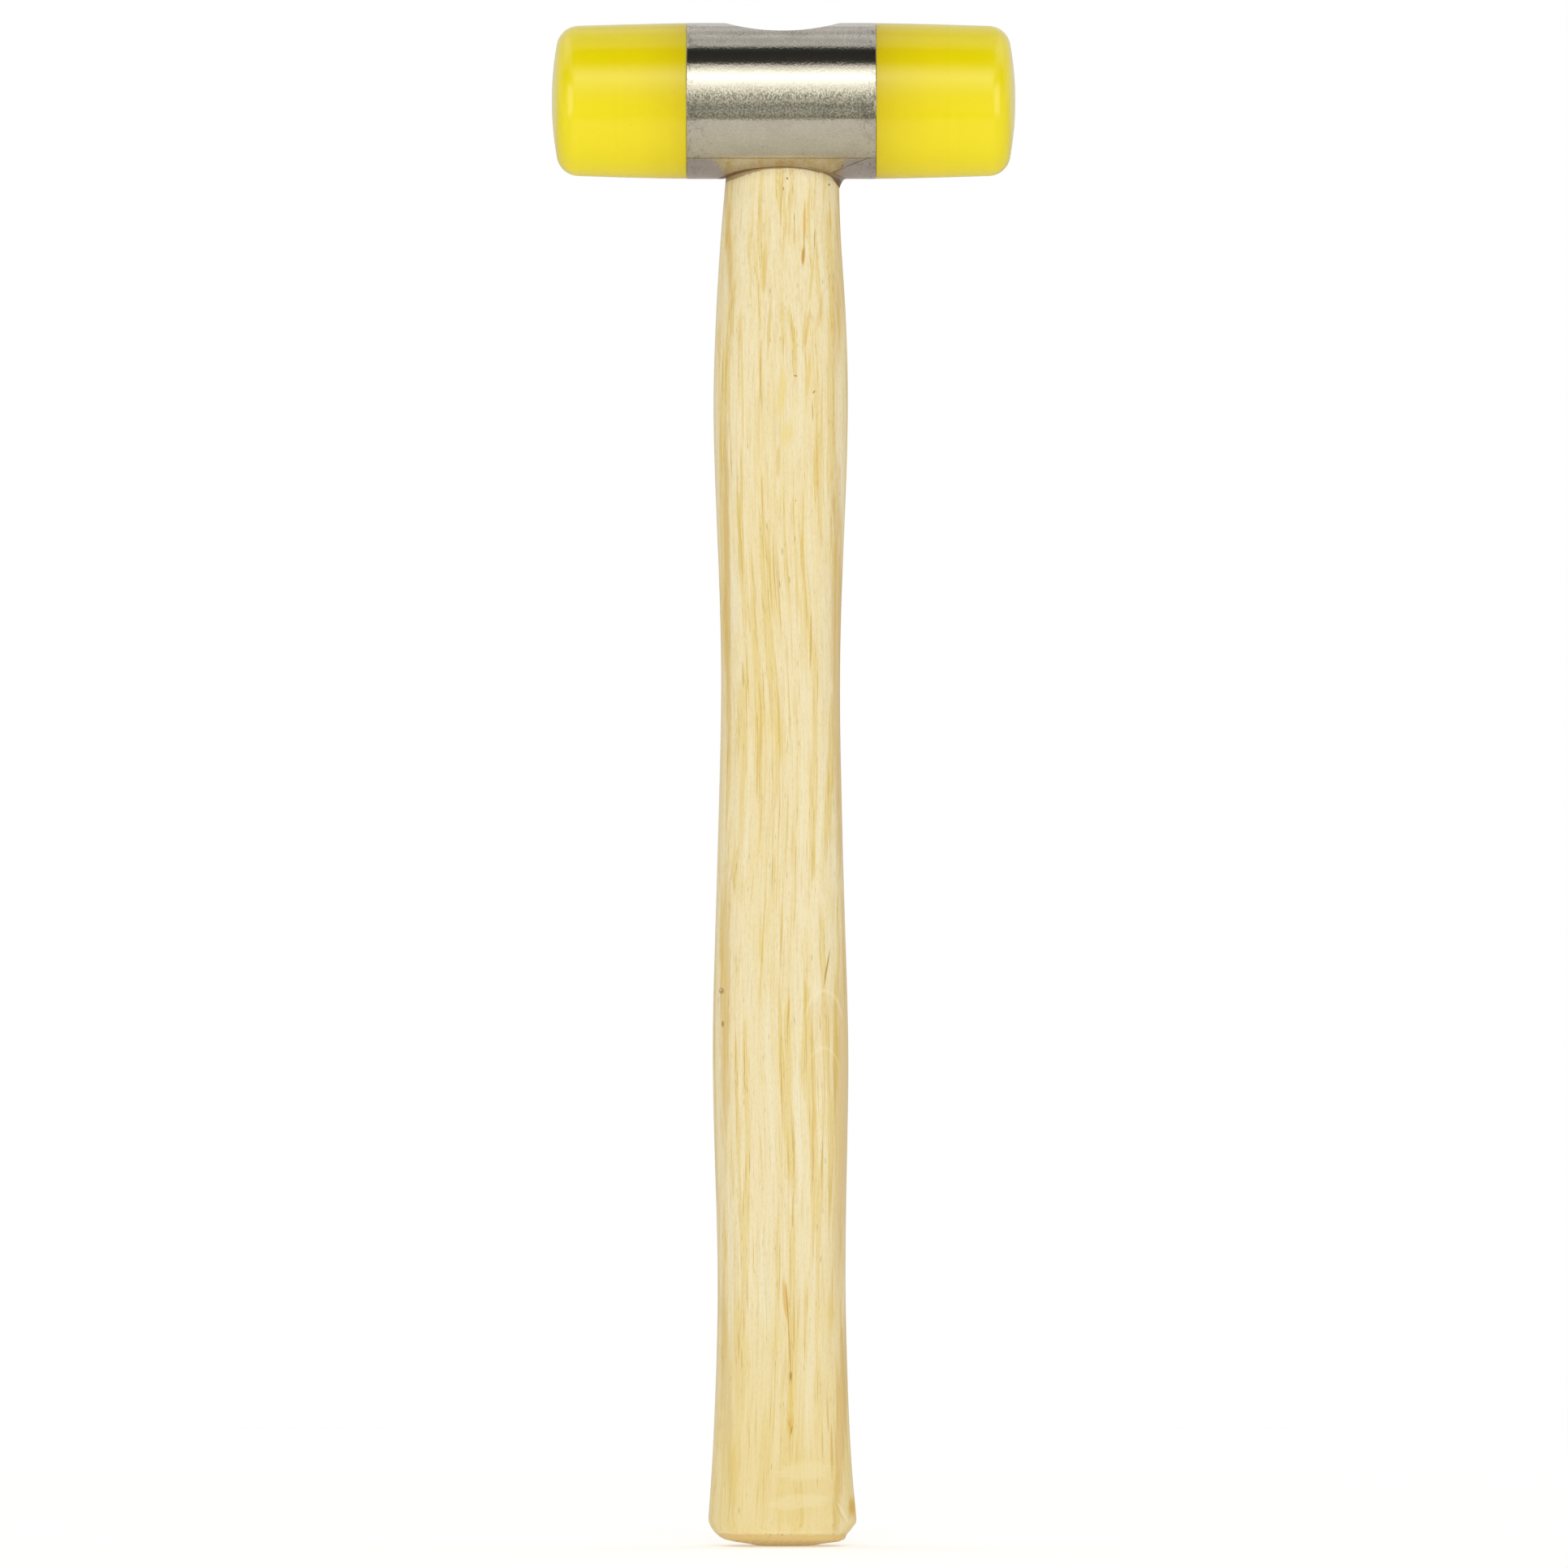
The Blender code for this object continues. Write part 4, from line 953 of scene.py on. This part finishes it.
    for which, xe, direction in ((0, HEAD_X0, -1.0), (nx, HEAD_X1, 1.0)):
        ring = end_ring(which)
        angs = [math.atan2(verts[i][1], verts[i][2] - HEAD_Z) for i in ring]
        prev = ring
        profile = []
        for n in range(1, 6):
            ang = math.radians(90.0) * n / 5
            profile.append((xe - direction * edge * (1 - math.sin(ang)), HEAD_R - 0.012 * MM - edge * (1 - math.cos(ang))))
        profile += [(xe, 14.5 * MM), (xe, 11.0 * MM), (xe, 7.1 * MM), (xe - direction * 0.15 * MM, 6.95 * MM),
                    (xe - direction * 0.7 * MM, 6.35 * MM)]
        hole_end = 8.9 * MM if direction < 0 else 8.35 * MM
        turns = int((hole_end - 0.7 * MM) / (STUD_PITCH / 4))
        for n in range(1, turns + 1):
            d = 0.7 * MM + n * STUD_PITCH / 4
            profile.append((xe - direction * d, (6.32 if n % 2 else 6.18) * MM))
        for px, pr in profile:
            cur = []
            for th in angs:
                r = pr
                cur.append(v((px, r * math.sin(th), HEAD_Z + r * math.cos(th))))
            for k in range(len(ring)):
                j = (k + 1) % len(ring)
                quad(prev[k], prev[j], cur[j], cur[k])
            prev = cur

    mesh = bpy.data.meshes.new("head_shell")
    mesh.from_pydata(verts, [], faces)
    mesh.update()
    outward(mesh)
    return mesh


# ------------------------------------------------------------------ faces and studs
def face_mesh(name, crown_x, seat_x, seed):
    sign = 1.0 if crown_x > seat_x else -1.0
    length = abs(crown_x - seat_x)
    sides = 224
    prof = [(0.0, 0.4 * MM)]
    prof += [(0.0, 1.6 * MM)]
    prof += crowned_end(FACE_NOSE_R, FACE_EDGE_R, FACE_DOME_R, FACE_FLAT_R, 22, 14)
    t_nose = prof[-1][0]
    side_pts = 40
    line = 14.8 * MM
    for k in range(1, side_pts + 1):
        f = k / side_pts
        depth = t_nose + (length - 0.12 * MM - t_nose) * f
        # the side fills out quickly past the nose and then runs nearly straight
        r = FACE_NOSE_R + (FACE_SEAT_R - FACE_NOSE_R) * (1 - (1 - f) ** 1.35)
        prof.append((depth, r))
    extra = []
    for d in (-0.30, -0.16, -0.06, 0.0, 0.06, 0.16, 0.30):
        depth = line + d * MM
        f = (depth - t_nose) / (length - 0.12 * MM - t_nose)
        r = FACE_NOSE_R + (FACE_SEAT_R - FACE_NOSE_R) * (1 - (1 - f) ** 1.35) + 0.022 * MM * hat(d, 0.0, 0.2)
        extra.append((depth, r))
    prof = [q for q in prof if abs(q[0] - line) > 0.32 * MM or q[1] < FACE_NOSE_R * 0.99] + extra
    outer = sorted((q for q in prof if q[0] > t_nose), key=lambda q: q[0])
    prof = [q for q in prof if q[0] <= t_nose] + outer
    for k in range(1, 5):
        ang = math.radians(90.0) * k / 4
        prof.append((length - 0.12 * MM + 0.12 * MM * math.sin(ang), FACE_SEAT_R - 0.12 * MM * (1 - math.cos(ang))))
    prof += [(length, 14.0 * MM), (length, 10.0 * MM), (length, STUD_R + GAP + 0.25 * MM)]
    low = length
    prof += [
        (low - 0.25 * MM, STUD_R + GAP),
        (low - STUD_NECK + GAP, STUD_R + GAP),
        (low - STUD_NECK + GAP, ANCHOR_R + GAP),
        (low - STUD_NECK - ANCHOR_LEN - GAP, ANCHOR_R + GAP),
        (low - STUD_NECK - ANCHOR_LEN - GAP, 0.5 * MM),
    ]
    rings = []
    for depth, r in prof:
        ring = []
        outside = r > FACE_FLAT_R and depth < length - 0.01 * MM
        for k in range(sides):
            th = 2 * math.pi * k / sides
            cy, cz = math.cos(th), math.sin(th)
            rr, dd = r, depth
            if outside and r > ANCHOR_R + GAP + 0.5 * MM or (outside and depth < 3 * MM):
                n1 = fbm(cy * 1.1 + seed, cz * 1.1, depth / MM * 0.07, 2)
                rr += 0.030 * MM * (n1 - 0.35) if depth > 3 * MM else 0.0
                n2 = fbm(r / MM * cy * 0.16 + seed, r / MM * cz * 0.16, seed * 2.0, 3)
                if depth < 3 * MM:
                    dd += 0.035 * MM * max(0.0, n2)
                rr = min(rr, r)
            ring.append((crown_x - sign * dd, rr * cy, HEAD_Z + rr * cz))
        rings.append(ring)
    mesh = grid_mesh(name, rings, cap_start=True, cap_end=True)
    outward(mesh)
    return mesh


def stud_mesh(name, seat_x, sign):
    """Threaded stud with a knurled, grooved anchor. Local depth runs from the anchor's end to the tip."""
    sides = 96
    rings = []

    def ring(h, radius_at):
        pts = []
        for k in range(sides):
            th = 2 * math.pi * k / sides
            r = radius_at(th)
            pts.append((seat_x + sign * h, r * math.cos(th), HEAD_Z + r * math.sin(th)))
        rings.append(pts)

    top = STUD_NECK + ANCHOR_LEN
    knurl = lambda r: (lambda th: r - 0.18 * MM * abs(math.sin(12 * th)))
    plain = lambda r: (lambda th: r)
    groove_low, groove_high = STUD_NECK + ANCHOR_LEN * 0.4, STUD_NECK + ANCHOR_LEN * 0.6
    ring(top, plain(ANCHOR_R - 0.5 * MM))
    ring(top - 0.5 * MM, knurl(ANCHOR_R))
    for h in np.linspace(top - 0.6 * MM, groove_high, 6):
        ring(h, knurl(ANCHOR_R))
    ring(groove_high - 0.6 * MM, plain(ANCHOR_R - ANCHOR_GROOVE))
    ring(groove_low + 0.6 * MM, plain(ANCHOR_R - ANCHOR_GROOVE))
    for h in np.linspace(groove_low, STUD_NECK + 0.05 * MM, 6):
        ring(h, knurl(ANCHOR_R))
    ring(STUD_NECK, plain(ANCHOR_R - 0.3 * MM))
    ring(STUD_NECK - 0.01 * MM, plain(STUD_R - 0.6 * MM))
    ring(0.4 * MM, plain(STUD_R - 0.6 * MM))
    depth = 0.613 * STUD_PITCH

    def thread(h):
        def radius(th):
            # right-handed about the outward axis
            ph = (h / STUD_PITCH - sign * th / (2 * math.pi)) % 1.0
            tri = abs(2 * ph - 1)                      # 1 at the root, 0 at the crest
            cut = min(1.0, max(0.0, (tri - 0.10) / 0.72))
            r = STUD_R - depth * cut
            tip = STUD_R - STUD_TIP + (h + STUD_OUT)   # 45 degree chamfer at the tip
            run = STUD_R - 0.55 * MM if h > 0.1 * MM else STUD_R
            return min(r, tip, run if h > 0.1 * MM else r)
        return radius

    n = 124
    for i in range(n + 1):
        h = 0.1 * MM + (-STUD_OUT - 0.1 * MM) * i / n
        ring(h, thread(h))
    mesh = grid_mesh(name, rings, cap_start=True, cap_end=True)
    outward(mesh)
    return mesh


# ------------------------------------------------------------------ handle
def handle_mesh():
    sides = 208
    knots = [s[0] * MM for s in HANDLE_STATIONS]
    width, depth_c, cx_c, power_c = (
        smooth_curve(knots, [s[i] * (MM if i < 4 else 1.0) for s in HANDLE_STATIONS]) for i in (1, 2, 3, 4)
    )
    base_w, base_d = float(width(knots[0])), float(depth_c(knots[0]))
    base_cx, base_p = float(cx_c(knots[0])), float(power_c(knots[0]))
    ts = [2 * math.pi * k / sides for k in range(sides)]
    rings = []

    def wobble(px, py, z, amount):
        """Hand-sanded unevenness of the surface, always inwards."""
        n1 = fbm(px / MM * 0.055 + 1.7, py / MM * 0.055, z / MM * 0.020, 3)
        n2 = fbm(px / MM * 0.20, py / MM * 0.20 + 4.0, z / MM * 0.035, 2)
        return amount * (0.10 * MM * (n1 * 0.5 + 0.5) + 0.035 * MM * (n2 * 0.5 + 0.5))

    def ring_at(z, cx, hx, hy, power, amount=1.0, z_of=None):
        ring = []
        for t in ts:
            ox, oy = oval_dir(t, hx, hy, power)
            ox, oy = float(ox), float(oy)
            r = math.hypot(ox, oy)
            inset = wobble(ox, oy, z, amount) if amount else 0.0
            f = (r - inset) / r
            zz = z if z_of is None else z_of(t, ox, oy)
            ring.append((cx + ox * f, oy * f, zz))
        rings.append(ring)

    # butt: a low crown, then a bevel that is round at the left, crisp at the front and knocked off at the right.
    # Each table gives the height above the ground and how far the skin lies inside the full size there, in mm.
    bevel_left = ((0.40, 9.9), (0.95, 6.1), (1.49, 3.61), (2.04, 2.59), (3.13, 1.37), (4.22, 0.59), (5.30, 0.15), (6.2, 0.0))
    bevel_right = ((0.40, 8.3), (0.95, 3.98), (1.49, 2.64), (2.64, 2.05), (3.13, 1.50), (4.22, 0.85), (5.13, 0.12), (6.2, 0.0))
    bevel_front = ((0.40, 6.6), (0.95, 3.5), (1.40, 2.35), (2.00, 1.50), (2.60, 0.92), (3.05, 0.50), (3.25, 0.33), (4.2, 0.12),
                   (5.3, 0.03), (6.2, 0.0))

    def inside(table, z_mm):
        return float(np.interp(z_mm, [r[0] for r in table], [r[1] for r in table])) * MM

    def butt_ring(z_mm, share):
        ring = []
        for t in ts:
            ox, oy = (float(c) for c in oval_dir(t, base_w / 2, base_d / 2, base_p))
            r = math.hypot(ox, oy)
            c = math.cos(t)
            right, left = max(0.0, c) ** 2, max(0.0, -c) ** 2
            z_at = max(z_mm, 0.40)
            off = (right * inside(bevel_right, z_at) + left * inside(bevel_left, z_at)
                   + (1 - right - left) * inside(bevel_front, z_at))
            a = t if t < math.pi else t - 2 * math.pi
            if z_mm > 0.4:
                rag = fbm(ox / MM * 0.5, oy / MM * 0.5, z_mm * 0.7, 3)
                off += 0.30 * MM * hat(a, -0.25, 0.55) * hat(z_mm, 2.9, 1.3) * (1 + rag)
                off += 0.06 * MM * abs(rag) * hat(z_mm, 2.2, 2.2)
                off += 0.25 * wobble(ox, oy, z_mm * MM, 1.0) * min(1.0, z_mm / 4.0)
            f = (1 - off / r) * share
            ring.append((base_cx + ox * f, oy * f, z_mm * MM))
        rings.append(ring)

    butt_ring(0.0, 0.20)
    for z_mm, share in ((0.0, 0.58), (0.04, 0.70), (0.10, 0.80), (0.18, 0.88), (0.28, 0.95)):
        butt_ring(z_mm, share)
    for z_mm in (0.40, 0.52, 0.66, 0.80, 0.95, 1.10, 1.25, 1.40, 1.55, 1.72, 1.90, 2.10, 2.30, 2.50, 2.68, 2.84, 2.96, 3.06,
                 3.14, 3.22, 3.32, 3.48, 3.70, 3.96, 4.22, 4.52, 4.84, 5.16, 5.50, 5.86):
        butt_ring(z_mm, 1.0)
    z = 6.3 * MM
    top = knots[-1]
    while z < top:
        # the sanded unevenness is weaker near the butt, full along the grip, and fades again just below the top
        ring_at(z, float(cx_c(z)), float(width(z)) / 2, float(depth_c(z)) / 2, float(power_c(z)),
                min(1.0, 0.25 + z / (30 * MM)) * min(1.0, (top + 4 * MM - z) / (20 * MM)))
        z += 0.95 * MM
    ring_at(top, float(cx_c(top)), float(width(top)) / 2, float(depth_c(top)) / 2, float(power_c(top)), 0.0)
    # tenon
    lo = -HEAD_R + 3.0 * MM
    hi = TENON_TOP - HEAD_Z
    for k in range(14):
        zz = lo + (hi - lo) * k / 13
        a, b = eye_half(zz)
        ring_at(HEAD_Z + zz, EYE_X, float(a) - TENON_GAP, float(b) - TENON_GAP, EYE_POWER, 0.0)
    mesh = grid_mesh("handle_wood_piece", rings, cap_start=True, cap_end=True)
    outward(mesh)
    return mesh


def slab(name, x0, x1, y0, y1, z0, z1, taper_axis, half0, half1, centre=0.0, cuts=0):
    """A tapered slab; cuts adds loops for surface detail."""
    bm = bmesh.new()
    bmesh.ops.create_cube(bm, size=1.0)
    if cuts:
        bmesh.ops.subdivide_edges(bm, edges=bm.edges[:], cuts=cuts, use_grid_fill=True)
    for vert in bm.verts:
        c = vert.co
        c.x = (x0 + x1) / 2 + c.x * (x1 - x0)
        c.y = (y0 + y1) / 2 + c.y * (y1 - y0)
        c.z = (z0 + z1) / 2 + c.z * (z1 - z0)
        share = (c.z - z0) / (z1 - z0)
        half = half0 + (half1 - half0) * share
        full = (x1 - x0) / 2 if taper_axis == 0 else (y1 - y0) / 2
        c[taper_axis] = centre + (c[taper_axis] - centre) / full * half
    mesh = bpy.data.meshes.new(name)
    bm.to_mesh(mesh)
    bm.free()
    return mesh


def apply_cut(ob, cutter_mesh):
    """Boolean difference, applied at once."""
    cutter = bpy.data.objects.new("cutter", cutter_mesh)
    bpy.context.scene.collection.objects.link(cutter)
    mod = ob.modifiers.new("cut", "BOOLEAN")
    mod.operation = "DIFFERENCE"
    mod.solver = "EXACT"
    mod.object = cutter
    bpy.context.view_layer.update()
    dg = bpy.context.evaluated_depsgraph_get()
    new = bpy.data.meshes.new_from_object(ob.evaluated_get(dg))
    ob.modifiers.remove(mod)
    old = ob.data
    ob.data = new
    bpy.data.meshes.remove(old)
    bpy.data.objects.remove(cutter, do_unlink=True)


# ------------------------------------------------------------------ build the pieces
steel = steel_material()
stud_steel = stud_material()
wedge_steel = wedge_steel_material()
wood = wood_material()
wedge_wood = wedge_wood_material()

head = add("head_shell", head_mesh(), steel, "handle_and_head", ("head_body",), sharp=38.0)
face_l = add("face_left_moulding", face_mesh("face_left_moulding", CROWN_L, SEAT_L, 2.3),
             plastic_material("face_plastic_left", CROWN_L, SEAT_L), "left_face", ("face_left",))
face_r = add("face_right_moulding", face_mesh("face_right_moulding", CROWN_R, SEAT_R, 7.9),
             plastic_material("face_plastic_right", CROWN_R, SEAT_R), "right_face", ("face_right",))
stud_l = add("stud_left_thread", stud_mesh("stud_left_thread", SEAT_L, -1.0), stud_steel, "left_stud",
             ("stud_left",), sharp=30.0)
stud_r = add("stud_right_thread", stud_mesh("stud_right_thread", SEAT_R, 1.0), stud_steel, "right_stud",
             ("stud_right",), sharp=30.0)

# wedges
z0, z1 = _ww[0].z, _ww[1].z
tip, top_t = 0.9 * MM / 2, 3.3 * MM / 2
s_tip, s_top = 0.7 * MM / 2, 2.6 * MM / 2
sz0, sz1 = _sw[0].z, _sw[1].z


def line_half(z, za, zb, ha, hb):
    return ha + (hb - ha) * (z - za) / (zb - za)


handle_ob = add("handle_grip", handle_mesh(), wood, "handle_and_head", ("handle",), sharp=50.0)
kerf_low, kerf_high = z0 - 1.0 * MM, TENON_TOP + 1.0 * MM
apply_cut(handle_ob, slab(
    "kerf", EYE_X - 16 * MM, EYE_X + 16 * MM, -1 * MM, 1 * MM, kerf_low, kerf_high, 1,
    line_half(kerf_low, z0, z1, tip, top_t) + 0.12 * MM, line_half(kerf_high, z0, z1, tip, top_t) + 0.12 * MM))
pocket_low, pocket_high = sz0 - 0.3 * MM, TENON_TOP + 1.5 * MM
pocket = slab(
    "pocket", EYE_X - 1 * MM, EYE_X + 1 * MM, _sw[0].y - 0.1 * MM, _sw[1].y + 0.1 * MM, pocket_low, pocket_high, 0,
    line_half(pocket_low, sz0, sz1, s_tip, s_top) + 0.1 * MM, line_half(pocket_high, sz0, sz1, s_tip, s_top) + 0.1 * MM,
    centre=EYE_X)
apply_cut(handle_ob, pocket.copy())

wedge_m = slab("wood_wedge_piece", _ww[0].x, _ww[1].x, -1 * MM, 1 * MM, z0, z1, 1, tip, top_t, cuts=23)
for vert in wedge_m.vertices:
    if vert.co.z > z1 - 0.1 * MM:
        vert.co.z -= 0.35 * MM * abs(fbm(vert.co.x / MM * 0.6, vert.co.y / MM * 1.1, 3.0, 3))
wedge_ob = add("wood_wedge_piece", wedge_m, wedge_wood, "handle_and_head", ("wood_wedge",), sharp=35.0)
apply_cut(wedge_ob, pocket.copy())

steel_m = slab("steel_wedge_piece", _sw[0].x, _sw[1].x, _sw[0].y, _sw[1].y, sz0, sz1, 0, s_tip, s_top, centre=EYE_X,
               cuts=15)
for vert in steel_m.vertices:
    share = (vert.co.z - sz0) / (sz1 - sz0)
    # barbs across both broad sides
    if abs(vert.co.x - EYE_X) > 0.9 * line_half(vert.co.z, sz0, sz1, s_tip, s_top):
        saw = (share * 8.0) % 1.0
        vert.co.x = EYE_X + (vert.co.x - EYE_X) * (1 - 0.10 * saw if share < 0.85 else 1.0)
    if share > 0.98:
        vert.co.z -= 0.18 * MM * abs(fbm(vert.co.x / MM * 0.8, vert.co.y / MM * 0.5, 8.0, 2))
steel_ob = add("steel_wedge_piece", steel_m, wedge_steel, "handle_and_head", ("steel_wedge",), sharp=30.0)
bev = steel_ob.modifiers.new("edge", "BEVEL")
bev.width = 0.12 * MM
bev.segments = 2
bev.limit_method = "ANGLE"
bev.angle_limit = math.radians(55.0)

# ------------------------------------------------------------------ stage
floor_rings = []
for r in np.linspace(0.0005, 1.2, 24):
    floor_rings.append([(r * math.cos(2 * math.pi * k / 96), r * math.sin(2 * math.pi * k / 96), -0.00005) for k in range(96)])
floor_mesh = grid_mesh("studio_floor", floor_rings, cap_start=True)
outward(floor_mesh)
floor_mesh.materials.append(floor_material())
floor = bpy.data.objects.new("studio_floor", floor_mesh)
bpy.context.scene.collection.objects.link(floor)
floor.visible_glossy = False


def studio_world():
    """A soft studio by direction: a pale room, one softbox above the camera, a dark gap over it, a quieter patch where
    the camera stands and two side lights."""
    t = Tree("studio", world=True)
    tc = t.node("ShaderNodeTexCoord")
    d = tc.outputs["Generated"]
    x, y, z = t.xyz(d)
    lon = t.math("ARCTAN2", z, t.math("MULTIPLY", y, -1.0))          # 0 towards the camera side, 90 degrees straight up
    u = t.math("ADD", t.math("DIVIDE", lon, 2 * math.pi), 0.5)

    def lon_ramp(stops, peak):
        return t.ramp(u, [(deg / 360.0 + 0.5, tuple(level * c / peak for c in tint)) for deg, level, tint in stops])

    neutral, warm, lamp = (1.0, 0.985, 0.965), (1.0, 0.955, 0.850), (1.0, 1.0, 0.93)
    amber, green = (1.0, 0.935, 0.740), (1.0, 0.985, 0.840)
    room = lon_ramp([
        (-180, 0.50, (1.0, 0.90, 0.84)), (-106, 0.50, (1.0, 0.90, 0.84)), (-100.2, 0.48, (1.0, 0.90, 0.84)),
        (-97.6, 0.58, amber),
        (-80, 0.70, amber), (-58, 0.78, (1.0, 0.950, 0.800)), (-36, 0.81, warm), (-29.8, 0.78, warm),
        (-27.4, 0.30, amber), (-24.5, 0.33, amber), (-19, 0.50, green), (-11.6, 0.555, green), (-4.4, 0.64, green),
        (2.7, 0.68, green), (8, 0.68, green), (14, 0.70, green), (54, 0.40, warm), (57, 0.07, warm), (62, 0.045, warm),
        (76, 0.035, neutral), (83, 0.060, neutral), (89, 0.66, neutral), (130, 0.72, neutral), (160, 0.80, neutral),
        (180, 0.62, neutral),
    ], 1.0)
    box = lon_ramp([
        (7, 0.0, lamp), (15.5, 0.52, lamp), (24, 1.05, lamp), (34, 2.05, lamp), (45, 1.00, lamp), (50.5, 0.55, lamp),
        (55, 0.0, lamp),
    ], 2.5)
    # the far side of the room is not plain: its small lights and darks turn into speckle on the matt steel
    clutter = t.noise(t.vec(t.math("MULTIPLY", x, 48.0), y, t.math("MULTIPLY", lon, 3.0)), scale=1.0, detail=1.5, rough=0.55)
    busy = t.math("MULTIPLY", t.step(lon, math.radians(-27.6), math.radians(-26.0)),
                  t.step(lon, math.radians(17.0), math.radians(10.0)))
    busy2 = t.math("MULTIPLY", t.step(lon, math.radians(88.0), math.radians(94.0)),
                   t.step(lon, math.radians(170.0), math.radians(130.0)))
    busy = t.math("ADD", busy, t.math("MULTIPLY", busy2, 0.55))
    swing = t.math("MULTIPLY", t.math("MULTIPLY", t.math("SUBTRACT", clutter, 0.5), 4.6), busy)
    scale_n = t.node("ShaderNodeVectorMath", operation="SCALE")
    t.link(room, scale_n.inputs[0])
    t.link(t.math("MAXIMUM", t.math("ADD", swing, 1.0), 0.15), scale_n.inputs["Scale"])
    room = scale_n.outputs[0]
    # off to both sides the dark gap and the camera's patch open up to a plain pale room
    ax = t.math("ABSOLUTE", x)
    inside = t.step(ax, 0.50, 0.32)
    low_front = t.math("MULTIPLY", t.math("MULTIPLY", t.step(ax, 0.45, 0.62), t.step(ax, 0.95, 0.88)), t.step(y, -0.10, -0.35))
    outer = t.math("SUBTRACT", 1.0, t.math("MULTIPLY", low_front, 0.50))
    outer_n = t.node("ShaderNodeVectorMath", operation="SCALE")
    t.link(room, outer_n.inputs[0])
    t.link(outer, outer_n.inputs["Scale"])
    room = outer_n.outputs[0]
    box_n = t.node("ShaderNodeVectorMath", operation="SCALE")
    t.link(box, box_n.inputs[0])
    t.link(t.math("MULTIPLY", inside, 2.5), box_n.inputs["Scale"])
    side = t.math("MULTIPLY", t.step(ax, 0.38, 0.58), t.step(ax, 0.90, 0.78))
    side = t.math("MULTIPLY", side, t.step(t.math("ABSOLUTE", z), 0.42, 0.26))
    side = t.math("MULTIPLY", side, t.step(y, 0.0, -0.15))
    total = t.vmath("ADD", room, box_n.outputs[0])
    total = t.vmath("ADD", total, t.math("MULTIPLY", side, 1.9))
    # two overhead lights, one to each side of the dark gap
    over = t.math("MULTIPLY", t.step(ax, 0.34, 0.50), t.step(z, 0.50, 0.70))
    total = t.vmath("ADD", total, t.math("MULTIPLY", over, 0.60))
    bg = t.node("ShaderNodeBackground")
    t.link(total, bg.inputs["Color"])
    seen = t.node("ShaderNodeBackground")
    seen.inputs["Color"].default_value = (1.0, 1.0, 1.0, 1.0)
    seen.inputs["Strength"].default_value = 1.0
    lp = t.node("ShaderNodeLightPath")
    mixer = t.node("ShaderNodeMixShader")
    t.link(lp.outputs["Is Camera Ray"], mixer.inputs[0])
    t.link(bg.outputs[0], mixer.inputs[1])
    t.link(seen.outputs[0], mixer.inputs[2])
    out = t.node("ShaderNodeOutputWorld")
    t.link(mixer.outputs[0], out.inputs["Surface"])
    t.owner.cycles.sampling_method = "MANUAL"
    t.owner.cycles.sample_map_resolution = 1024
    return t.owner


scene = bpy.context.scene
scene.world = studio_world()
scene.view_settings.view_transform = "Standard"
scene.view_settings.look = "None"

# camera: level, straight at the front, far enough away to be nearly free of perspective
cam_data = bpy.data.cameras.new("camera")
cam = bpy.data.objects.new("camera", cam_data)
scene.collection.objects.link(cam)
CAM_DIST = 5.0
FRAME_W = 0.35146
cam_data.sensor_width = 36.0
cam_data.lens = 36.0 * CAM_DIST / FRAME_W
cam_data.clip_start, cam_data.clip_end = 0.1, 50.0
cam.location = (0.0001, -CAM_DIST, 0.1707)
cam.rotation_euler = (math.radians(90.0), 0.0, 0.0)
scene.camera = cam
